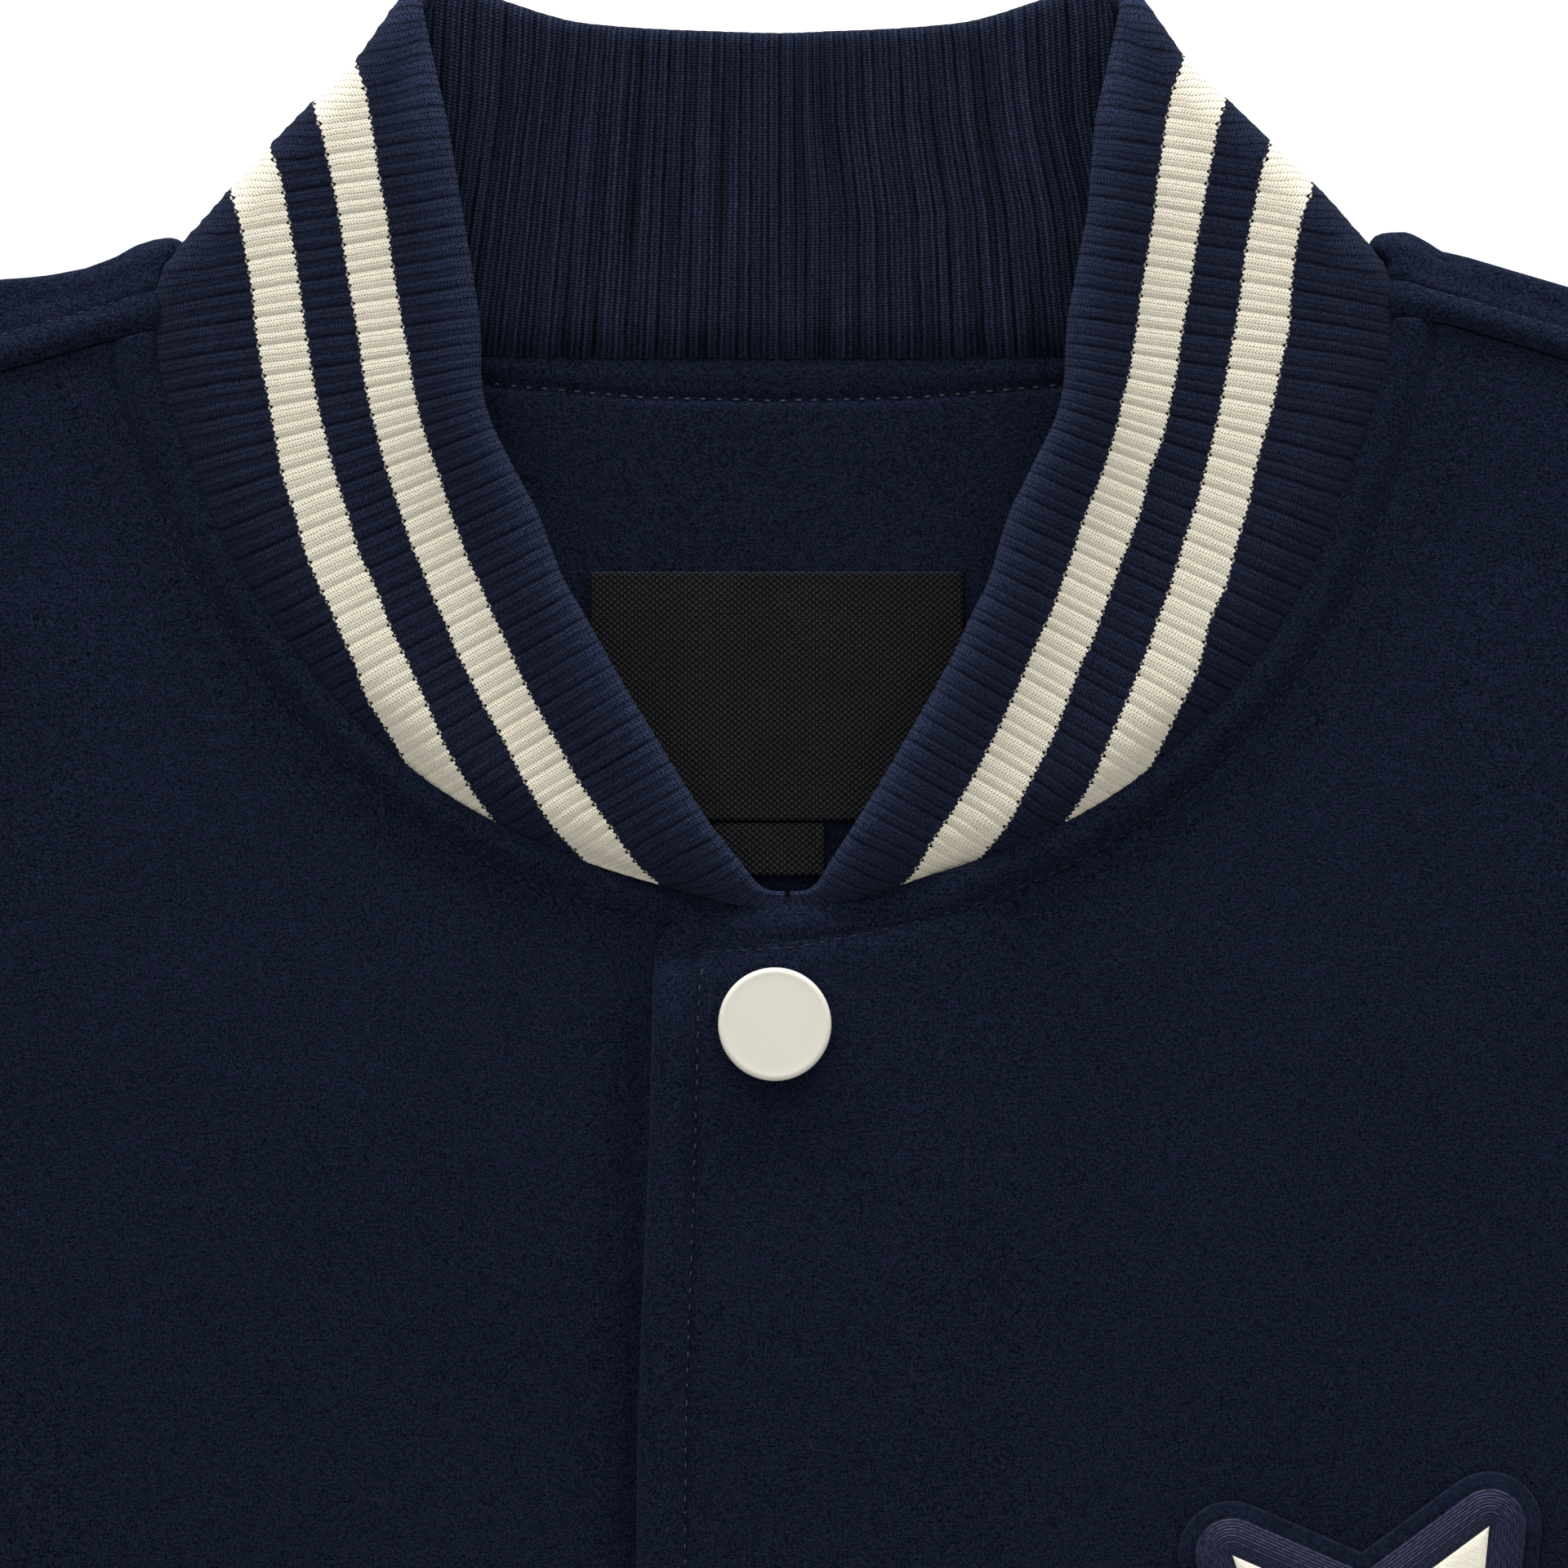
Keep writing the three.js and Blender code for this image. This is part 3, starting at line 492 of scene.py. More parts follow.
def knit(name, navy, cream, stripes, pitch=RIB_PITCH):
    """Rib knit: u runs across the ribs and v along them, both in millimetres. The inner
    face has 1000 added to v, and no stripes."""
    n = Nodes(name)
    u, v, _ = n.split(n.place(uv="cloth"))
    inside = n.math("GREATER_THAN", v, 500.0)
    outside = n.math("SUBTRACT", 1.0, inside)
    # The wales don't run quite straight.
    wobble = n.ramp(n.noise(n.place(scale=(0.5, 1, 1), uv="cloth"), 0.3, 3, 0.6), 0.2, 0.8, -0.16, 0.16, False)
    across = n.math("ADD", u, wobble)
    rib = n.math("FRACT", n.math("MULTIPLY", across, 1 / pitch))
    wale = n.math("FRACT", n.math("MULTIPLY", across, 5 / pitch))
    to_first = n.math("SUBTRACT", 0.5, n.math("ABSOLUTE", n.math("SUBTRACT", rib, 0.5)))
    to_second = n.math("ABSOLUTE", n.math("SUBTRACT", rib, 0.4))
    from_middle = n.math("ABSOLUTE", n.math("SUBTRACT", wale, 0.5))
    between = n.math("MAXIMUM", n.ramp(from_middle, 0.28, 0.47), n.math("MULTIPLY", n.ramp(from_middle, 0.05, 0.3), inside))
    # The grooves of both faces, with painted shade in them that is darker in some places than in others.
    vary = n.ramp(n.noise(n.place(scale=(0.5, 0.12, 1), uv="cloth"), 0.9, 3, 0.6), 0.3, 0.7, 0.3, 1.25, False)
    outer = n.math("MAXIMUM", n.ramp(to_first, 0.015, 0.11, 1, 0), n.math("MULTIPLY", n.ramp(to_second, 0.015, 0.09, 1, 0), 0.7))
    inner = n.math("MAXIMUM", n.ramp(to_first, 0.03, 0.14, 1, 0), n.math("MULTIPLY", n.ramp(to_second, 0.02, 0.11, 1, 0), 0.8))
    groove = n.math("ADD", n.math("MULTIPLY", inner, inside), n.math("MULTIPLY", outer, outside))
    groove_painted_shade = n.math("MULTIPLY", groove, vary)
    lean = n.math("MULTIPLY", from_middle, 0.9)
    loops = n.math("SINE", n.math("MULTIPLY", n.math("ADD", n.math("MULTIPLY", v, 1 / COURSE), lean), 2 * math.pi))
    uneven = n.noise(n.place(scale=(0.9, 0.5, 1), uv="cloth"), 0.9, 3, 0.6)
    yarn = n.noise(n.place(scale=(1.6, 1.0, 1), uv="cloth"), 1.9, 3, 0.7)
    fuzz = n.noise(n.place(), 2.6, 4, 0.7)
    mask = stripe_mask(n, v, outer, wale, stripes)
    # Painted shade along the gaps between the wales, stronger on the inner face; with the painted groove shade it
    # darkens the navy.
    lines = n.math("MULTIPLY", between, n.math("ADD", n.math("MULTIPLY", inside, 0.3), 0.3))
    depth = n.math("ADD", n.math("MULTIPLY", inside, 0.05), 0.6)
    navy_painted_shade = n.math("MULTIPLY", n.math("SUBTRACT", 1.0, n.math("MULTIPLY", groove_painted_shade, depth)), n.math("SUBTRACT", 1.0, lines))
    tone_navy = n.math("MULTIPLY", navy_painted_shade, n.math("ADD", n.math("ADD", n.ramp(yarn, 0.3, 0.7, 0.4, 1.6, False), n.ramp(loops, -1, 1, -0.3, 0.36)), n.ramp(fuzz, 0.3, 0.7, -0.45, 0.65, False)))
    # Some wales of the inner face stand out more than others, and the outer face is painted lighter near the fold, a
    # painted highlight where the fold rounds over.
    single = n.ramp(n.noise(n.place(scale=(1.1, 0.03, 1), uv="cloth"), 0.8, 2, 0.5), 0.3, 0.7, -0.45, 0.95, False)
    tone_navy = n.math("MULTIPLY", tone_navy, n.math("ADD", n.math("MULTIPLY", inside, single), 1.0))
    tone_navy = n.math("MULTIPLY", tone_navy, n.ramp(v, 1.0, 9.0, 1.42, 0.94))
    # A little painted shade in the grooves and between the wales of the cream stripes.
    cream_painted_shade = n.math("SUBTRACT", 1.0, n.math("ADD", n.math("MULTIPLY", groove_painted_shade, 0.05), n.math("MULTIPLY", between, 0.05)))
    tone_cream = n.math("MULTIPLY", cream_painted_shade, n.math("ADD", n.math("ADD", n.ramp(yarn, 0.3, 0.7, 0.93, 1.06, False), n.ramp(loops, -1, 1, -0.17, 0.08)), n.ramp(fuzz, 0.3, 0.7, -0.04, 0.04)))

    def tinted(tone, colour):
        c = n.node("ShaderNodeCombineXYZ")
        for k in range(3):
            n.put(c.inputs[k], n.math("MAXIMUM", n.math("MULTIPLY", tone, colour[k]), 0.0))
        return c.outputs[0]

    light = n.mixed(n.ramp(uneven, 0.3, 0.7), tinted(tone_cream, cream), tinted(tone_cream, tuple(c * f for c, f in zip(cream, (0.98, 0.955, 0.9)))))
    deep = n.mixed(n.ramp(uneven, 0.3, 0.7), tinted(tone_navy, navy), tinted(tone_navy, tuple(c * f for c, f in zip(navy, (1.2, 1.2, 1.12)))))
    colour = n.mixed(mask, deep, light)
    bumps = n.bump(n.math("SUBTRACT", 1.0, between), 0.5, 0.16)
    bumps = n.bump(loops, 0.5, 0.12, bumps)
    bumps = n.bump(n.math("ADD", yarn, fuzz), 0.45, 0.22, bumps)
    return n.set(
        Base_Color=colour,
        Roughness=1.0,
        Specular_IOR_Level=0.015,
        Sheen_Weight=0.03,
        Sheen_Roughness=0.55,
        Sheen_Tint=(0.4, 0.48, 0.7, 1.0),
        Normal=bumps,
    )


def woven(name, dark, light, cell=0.58):
    """Woven label cloth: a basket of small cells, each a few threads."""
    n = Nodes(name)
    x, y, _ = n.split(n.place())
    a = n.math("SINE", n.math("MULTIPLY", x, math.pi / cell))
    b = n.math("SINE", n.math("MULTIPLY", y, math.pi / (0.86 * cell)))
    cells = n.math("MULTIPLY", a, b)
    threads = n.math("SINE", n.math("MULTIPLY", y, 2 * math.pi / 0.21))
    rough = n.noise(n.place(scale=(2.2, 1, 1)), 1.6, 3, 0.65)
    patchy = n.noise(n.place(), 0.09, 2, 0.5)
    level = n.math("ADD", n.ramp(cells, 0.05, 0.85, 0, 0.95), n.ramp(rough, 0.35, 0.65, -0.16, 0.3, False))
    level = n.math("MULTIPLY", n.math("MAXIMUM", level, 0.0), n.ramp(patchy, 0.3, 0.7, 0.75, 1.15))
    bumps = n.bump(cells, 0.7, 0.14)
    bumps = n.bump(n.math("ADD", rough, n.math("MULTIPLY", threads, 0.25)), 0.4, 0.12, bumps)
    return n.set(Base_Color=n.mixed(level, dark, light), Roughness=0.8, Specular_IOR_Level=0.06, Normal=bumps)


def felt(name, dark, light):
    n = Nodes(name)
    fibre = n.noise(n.place(scale=(1, 1, 1)), 1.3, 5, 0.7, 1.2)
    cloud = n.noise(n.place(), 0.12, 2, 0.5)
    level = n.math("ADD", n.ramp(fibre, 0.3, 0.7), n.ramp(cloud, 0.3, 0.7, -0.15, 0.15), clamp=True)
    bumps = n.bump(fibre, 0.55, 0.5)
    return n.set(Base_Color=n.mixed(level, dark, light), Roughness=1.0, Specular_IOR_Level=0.02, Sheen_Weight=0.03, Sheen_Roughness=0.5, Normal=bumps)


def satin(name, dark, light, row=0.5):
    """Rows of embroidery that run along the line: v along it, u across it."""
    n = Nodes(name)
    u, v, _ = n.split(n.place(uv="cloth"))
    step = n.math("MULTIPLY", n.math("FLOOR", n.math("MULTIPLY", u, 1 / row)), 0.37)
    across = n.math("SINE", n.math("MULTIPLY", u, 2 * math.pi / row))
    dash = n.math("SINE", n.math("MULTIPLY", n.math("ADD", n.math("MULTIPLY", v, 1 / 1.9), step), 2 * math.pi))
    uneven = n.noise(n.place(scale=(2.0, 0.5, 1), uv="cloth"), 1.5, 3, 0.65)
    level = n.math("ADD", n.ramp(across, -1, 1, 0.0, 0.5), n.ramp(uneven, 0.3, 0.7, -0.35, 0.55, False))
    level = n.math("ADD", level, n.ramp(dash, -1, -0.6, -0.35, 0.1), clamp=True)
    bumps = n.bump(n.math("ADD", across, n.math("MULTIPLY", dash, 0.3)), 0.7, 0.16)
    bumps = n.bump(uneven, 0.4, 0.15, bumps)
    return n.set(Base_Color=n.mixed(level, dark, light), Roughness=0.55, Specular_IOR_Level=0.12, Normal=bumps)


def thread(name, dark, light):
    n = Nodes(name)
    u, v, _ = n.split(n.place(uv="cloth"))
    twist = n.math("SINE", n.math("MULTIPLY", n.math("ADD", n.math("MULTIPLY", u, 1 / 0.35), v), 2 * math.pi))
    return n.set(Base_Color=n.mixed(n.ramp(twist, -1, 1), dark, light), Roughness=0.6, Specular_IOR_Level=0.1, Normal=n.bump(twist, 0.5, 0.06))


def enamel(name, colour):
    n = Nodes(name)
    flow = n.noise(n.place(), 0.12, 2, 0.5)
    orange = n.noise(n.place(), 0.9, 3, 0.55)
    speck = n.noise(n.place(), 2.6, 2, 0.5)
    base = n.mixed(n.ramp(flow, 0.3, 0.7), colour, tuple(c * f for c, f in zip(colour, (0.985, 0.985, 0.97))))
    base = n.mixed(n.ramp(speck, 0.74, 0.8, 0, 0.12), base, (0.4, 0.38, 0.33))
    return n.set(
        Base_Color=base,
        Roughness=n.ramp(orange, 0.2, 0.8, 0.3, 0.4),
        Specular_IOR_Level=0.35,
        Coat_Weight=0.15,
        Coat_Roughness=0.2,
        Normal=n.bump(orange, 0.08, 0.15),
    )


NAVY = (0.0057, 0.0076, 0.0169)
CREAM = (0.470, 0.444, 0.368)
M_WOOL = wool("melton_wool", (0.0003, 0.0008, 0.0028), (0.0086, 0.0119, 0.0252))
M_FACING = wool("facing_wool", (0.0003, 0.0007, 0.0025), (0.0074, 0.0101, 0.0217))
M_COLLAR = knit("rib_knit_collar", NAVY, CREAM, STRIPES)
M_BAND = knit("rib_knit_band", NAVY, CREAM, BAND_STRIPES)
M_LABEL = woven("label_weave", (0.0005, 0.0006, 0.0007), (0.0131, 0.0142, 0.0164))
M_BASE = felt("felt_navy", (0.0012, 0.0022, 0.0062), (0.0075, 0.0108, 0.0235))
M_STAR = felt("felt_cream", (0.55, 0.52, 0.43), (0.64, 0.61, 0.53))
M_BORDER = satin("embroidery_thread", (0.0025, 0.0036, 0.012), (0.021, 0.026, 0.066))
M_THREAD = thread("sewing_thread", (0.010, 0.013, 0.019), (0.046, 0.053, 0.066))
M_TONAL = thread("sewing_thread_dark", (0.004, 0.006, 0.011), (0.017, 0.022, 0.034))
M_SNAP = enamel("snap_enamel", (0.463, 0.444, 0.391))


# ---------------------------------------------------------------- rib profile
def rib_outer(s, pitch=RIB_PITCH):
    """Height of the outer face of the knit: two soft grooves a rib, one of them deeper."""
    p = np.mod(s / pitch, 1)
    return RIB_DEPTH * (0.36 - 0.95 * (bell(p, 0, 0.09) + bell(p, 1, 0.09)) - 0.6 * bell(p, 0.4, 0.085))


def rib_inner(s, pitch=RIB_PITCH):
    """Height of the inner face, where the grooves are wider."""
    p = np.mod(s / pitch, 1)
    return RIB_DEPTH * (0.4 - 1.0 * (bell(p, 0, 0.12) + bell(p, 1, 0.12)) - 0.7 * bell(p, 0.4, 0.1))


# ---------------------------------------------------------------- collar
# How far each edge of the stripes wanders from its line, on the two sides of the neck:
# y, then the four edges from the fold outward.
STRIPE_SHIFT_RIGHT = np.array([
    (26, -0.2, -0.1, 0, 0), (15.9, -0.4, -0.1, 0, 0), (9.9, -0.1, -0.3, -0.2, -0.2), (3.9, -0.2, -0.2, -0.1, 0),
    (-2.1, 0.2, 0.1, 0, 0.2), (-8.1, 0.2, 0.1, 0.2, 0.1), (-14.1, 0.1, -0.1, 0.4, 0.6), (-20.1, -0.9, -0.4, 0, 0.3),
    (-26.1, -1.65, -1.3, -0.8, -0.75), (-32.1, -1.8, -1.75, -1.4, -1.1), (-38.1, -1.25, -1.25, -1.25, -0.75),
    (-44.1, 0.1, -0.25, -0.5, -0.5), (-50.1, 1.1, 0.85, 0.85, 0.85), (-56.1, 0.5, 1.0, 1.1, 1.35),
    (-62.1, 0.5, 0.5, 1.3, 1.3), (-68.1, 1.4, 1.2, 0.7, 0.7), (-74.1, 1.8, 1.5, 1.5, 1.3), (-80.1, 1.8, 1.45, 2.0, 1.3),
    (-86.1, 2.2, 2.0, 1.7, 1.6), (-92.1, 1.8, 1.6, 1.7, 1.7), (-98.1, 1.4, 1.2, 1.2, 1.2),
])
STRIPE_SHIFT_LEFT = np.array([
    (26, -0.8, -0.5, -0.5, -0.5), (15.9, -1.6, -0.9, -0.8, -0.8), (9.9, -1.95, -1.5, -1.2, -1.0), (3.9, -1.9, -1.75, -1.7, -1.45),
    (-2.1, -1.75, -1.5, -1.45, -1.2), (-8.1, -1.6, -1.2, -0.9, -0.6), (-14.1, -1.2, -1.25, -0.7, 0.3), (-20.1, -1.75, -1.4, -1.1, -0.25),
    (-26.1, -2.9, -2.3, -1.95, -1.1), (-32.1, -2.75, -2.4, -2.3, -2.0), (-38.1, -2.0, -2.65, -2.1, -2.25),
    (-44.1, -1.6, -1.2, -1.4, -1.45), (-50.1, -0.8, -0.65, -0.75, -0.7), (-56.1, -1.35, -0.9, 0.05, 0.25),
    (-62.1, -1.65, -1.4, -0.5, -0.35), (-68.1, -1.3, -1.3, -0.7, 0), (-74.1, -0.8, -0.35, 0.25, -0.1), (-80.1, -0.35, 0.45, 0.55, 0.45),
    (-86.1, 0, 0.7, 0.9, 0.9), (-92.1, 0, 0.9, 1.1, 0.6), (-98.1, -0.45, 0.2, 0.5, 0.5),
])


def striped(w, y, table):
    """Distance across the band as the knitted stripes give it, from the true distance w."""
    edges = [e for pair in STRIPES for e in pair]
    v = np.empty_like(w)
    for j in range(w.shape[1]):
        places = [0.0]
        for c, e in enumerate(edges):
            at = float(np.interp(e, w[:, j], y[:, j]))
            places.append(e + float(np.interp(-at, -table[:, 0], table[:, c + 1])))
        far = max(w[-1, j], places[-1] + 0.5)
        v[:, j] = np.interp(w[:, j], places + [far], [0.0] + edges + [edges[-1] + far - places[-1]])
    return v


def collar():
    back = COLLAR_BACK.copy()
    back[:, 3] += neck_rise(back[:, 2])
    for c in (0, 2):
        off = (back[:, c : c + 2] - FOLD_POINT) @ FOLD_OUT
        back[:, c : c + 2] -= 2 * off[:, None] * FOLD_OUT
    stations = np.concatenate([COLLAR_FRONT, back])
    middle = np.concatenate([stations, (stations[:, :2] + stations[:, 2:]) / 2], 1)
    k, length = by_length(middle, [4, 5])
    total = length[-1]
    ribs = round(total / RIB_PITCH)
    pitch = total / ribs
    per = 10
    s = np.linspace(0, total, ribs * per + 1)
    st = catmull(stations, np.interp(s, length, k))
    E, S = st[:, :2], st[:, 2:]
    W = np.linalg.norm(S - E, axis=1)
    d = (S - E) / W[:, None]
    r = np.minimum(RIB / 2, W / 3)
    W = W + 0.8 + 0.3 * smooth(-45, -25, S[:, 1]) * (1 - smooth(-2, 8, S[:, 1]))  # a little goes under the wool
    parts = []
    for f in edge_steps(1, 4)[:-1]:
        parts.append(r * f)
    for g in np.linspace(0, 1, 23):
        parts.append(r + (W - r) * g)
    w = np.stack(parts)  # rows: distance from the fold edge
    from_seam = W[None] - w
    outer = rib_outer(s, pitch)[None]
    inner = rib_inner(s, pitch)[None]
    round_edge = rounded(w, r[None])
    stout = np.minimum(1, W / 9)[None]  # the tip is thin
    up = (RIB / 2 * (0.45 + 0.55 * smooth(0, 5, from_seam)) * stout + outer * stout) * round_edge
    down = (RIB / 2 * (0.5 + 0.5 * smooth(0, 5, from_seam)) * stout + inner * stout) * round_edge
    U = E[None] + d[None] * w[..., None]
    U = U - d[None] * (0.28 * outer * stout * (1 - np.clip(w / r[None], 0, 1)))[..., None]
    b = (U - FOLD_POINT) @ FOLD_OUT
    R = FOLD_TURN
    q = b + math.pi * R / 2
    foot = U - q[..., None] * FOLD_OUT
    turning = np.clip(q / R, 0, math.pi)
    zf = 7.0 + 0.5 * smooth(-60, -15, U[..., 1])
    zf = zf - 1.35 * (1 - smooth(0, 9, from_seam)) * stout
    zb = 2.4 + 0 * zf
    zc = 4.95
    on_fold = smooth(-4, 0, q) * (1 - smooth(math.pi * R, math.pi * R + 4, q))
    up = up - 0.8 * outer * stout * round_edge * on_fold
    flat = foot + (R * np.sin(turning) + np.where(q <= 0, q, 0) - np.where(q >= math.pi * R, q - math.pi * R, 0))[..., None] * FOLD_OUT
    z = zc + R * np.cos(turning)
    z = np.where(q <= 0, mix(zf, z, 1 - smooth(0, 14, -q)), z)
    z = np.where(q >= math.pi * R, mix(zb, z, 1 - smooth(0, 14, q - math.pi * R)), z)
    # The front halves roll up a little toward the fold edge.
    z = z + 3.0 * bell(w, 0, 10) * smooth(0, 14, -q) * smooth(6, 20, W)[None]
    z = z - 0.9 * (1 - smooth(0, 4.5, from_seam)) * (smooth(-50, -28, S[:, 1]) * (1 - smooth(-2, 8, S[:, 1])))[None]
    # Where the fold runs into the neck seam the band is pressed flat under the wool.
    pressed = np.where(q < 0, 5.4, 3.9 + 1.5 * np.cos(turning))
    near_fold = np.clip(1 - (-q) / 60, 0, 1) * (q < math.pi * R + 20)
    z = mix(z, np.minimum(z, pressed), (1 - smooth(0, 8, from_seam)) * near_fold)
    # The folded corner isn't a straight line.
    across = np.array([FOLD_OUT[1], -FOLD_OUT[0]])
    t = (flat - FOLD_POINT) @ across
    push = np.interp(t, [-4, 0, 6, 14, 20, 27, 35, 43, 52, 60, 70, 80], [3.6, 3.4, 2.4, 0.9, 0.8, 1.0, 0.9, 0.6, 0.0, -0.2, -0.4, -0.6])
    lift_up = np.interp(t, [-4, 0, 8, 16], [1.3, 1.0, 0.3, 0])
    near = (1 - smooth(0, 17, -q)) * (1 - smooth(0, 17, q - math.pi * R))
    flat = flat + near[..., None] * (push[..., None] * FOLD_OUT + lift_up[..., None] * np.array([-0.8, 0.8]))
    half = np.concatenate([flat, z[..., None]], -1)
    # The band isn't quite the same on both sides of the neck.
    y = half[..., 1]
    shift = np.interp(-y, [-20, -5, 20, 35, 48, 66, 85, 100, 106], [-2.8, -1.5, -2.2, -2.4, -1.8, 0, 0.6, 0.9, 1.3])
    wander = half.copy()
    central = smooth(0, 12, np.abs(half[..., 0]))
    central = np.where(y < -60, 1, central)
    wander[..., 0] += shift * central
    mirrored = half[:, ::-1] * np.array([-1, 1, 1])
    mirrored[..., 0] += 1.3 * smooth(-92, -107, mirrored[..., 1]) * (mirrored[..., 1] < -60)
    M = np.concatenate([wander, mirrored[:, 1:]], 1)

    def whole(a, sign=1):
        a = np.broadcast_to(a, w.shape)
        return np.concatenate([a, a[:, ::-1][:, 1:]], 1)

    u = np.concatenate([s, 2 * total - s[::-1][1:]])
    v = np.concatenate([striped(w, wander[..., 1], STRIPE_SHIFT_LEFT), striped(w[:, ::-1], mirrored[..., 1], STRIPE_SHIFT_RIGHT)[:, 1:]], 1)
    uv = np.stack([np.broadcast_to(u / pitch * RIB_PITCH, M.shape[:2]), v], -1)
    uv_in = uv + np.array([0, 1000.0])
    obj = shell(
        "collar_band", M, whole(up), whole(down), M_COLLAR, ["collar"],
        uv=uv, uv_down=uv_in, up_at=(14, per * 8),
    )
    return obj, 2 * total


# ---------------------------------------------------------------- fronts
def front_height(s, x, y, d):
    flat = FOLD_Z + FOLD_R
    lift = NECK_LIFT * (1 - smooth(0, 18, d)) * smooth(-135, -100, y)
    hem = HEM_LIFT * (1 - smooth(-632, -600, y))
    if s < 0:
        return flat + hem + lift * smooth(22, 40, x)
    over = 1 - smooth(PLACKET + 5, PLACKET + 19, x)
    return mix(flat + lift, OVERLAP_Z, over) + hem


# Soft ridges (+) and troughs (-) of the body cloth: from, to, half width, height. In
# real x, so the two fronts differ.
FRONT_CREASES = [
    ((120, -60), (182, -150), 13, 0.55), ((138, -48), (205, -118), 9, -0.4),
    ((150, -190), (236, -250), 16, 0.9), ((120, -215), (215, -300), 12, -0.6),
    ((60, -330), (190, -372), 18, 0.8), ((90, -420), (240, -455), 15, -0.7),
    ((40, -520), (170, -560), 20, 0.9), ((150, -590), (250, -560), 14, 0.8),
    ((-118, -66), (-176, -160), 12, 0.5), ((-140, -52), (-212, -130), 10, -0.4),
    ((-140, -205), (-232, -262), 17, 0.9), ((-118, -240), (-226, -318), 11, -0.6),
    ((-70, -350), (-210, -390), 16, 0.8), ((-60, -455), (-190, -480), 19, -0.7),
    ((-90, -545), (-240, -580), 17, 0.9), ((-38, -250), (-60, -420), 14, 0.5),
]


def creases(x, y, table):
    p = np.stack([x, y], -1)
    z = np.zeros(x.shape)
    for a, b, width, height in table:
        d, t = segment_distance(p, a, b)
        z += height * np.exp(-((d / width) ** 2)) * (0.25 + 0.75 * np.sin(math.pi * (0.12 + 0.76 * t)))
    return z


K_FRONT, L_FRONT = by_length(FRONT_ROWS, [0, 1])


def front_lines(kmax=11.0):
    """Fine points of the neck and front edge of a front, from the shoulder down."""
    return catmull(FRONT_ROWS, np.linspace(0, kmax, 500))[:, :2]


NECK_DRIFT = np.array([(0, -1.0), (5, -1.6), (13, -1.8), (20, -2.6), (35, -2.6), (48, -1.9), (66, -0.2), (80, 0)], float)


def neck_drift(y, dn):
    """The neckline of the left front lies nearer the middle than that of the right."""
    return np.interp(-y, NECK_DRIFT[:, 0], NECK_DRIFT[:, 1]) * (1 - smooth(0, 32, dn))


def seam_drift(x):
    """The left shoulder seam lies a little higher near the neck. x is real."""
    return np.interp(x, [99, 104, 112, 128, 165, 220], [1.6, 3.0, 3.0, 2.4, 1.0, 0])


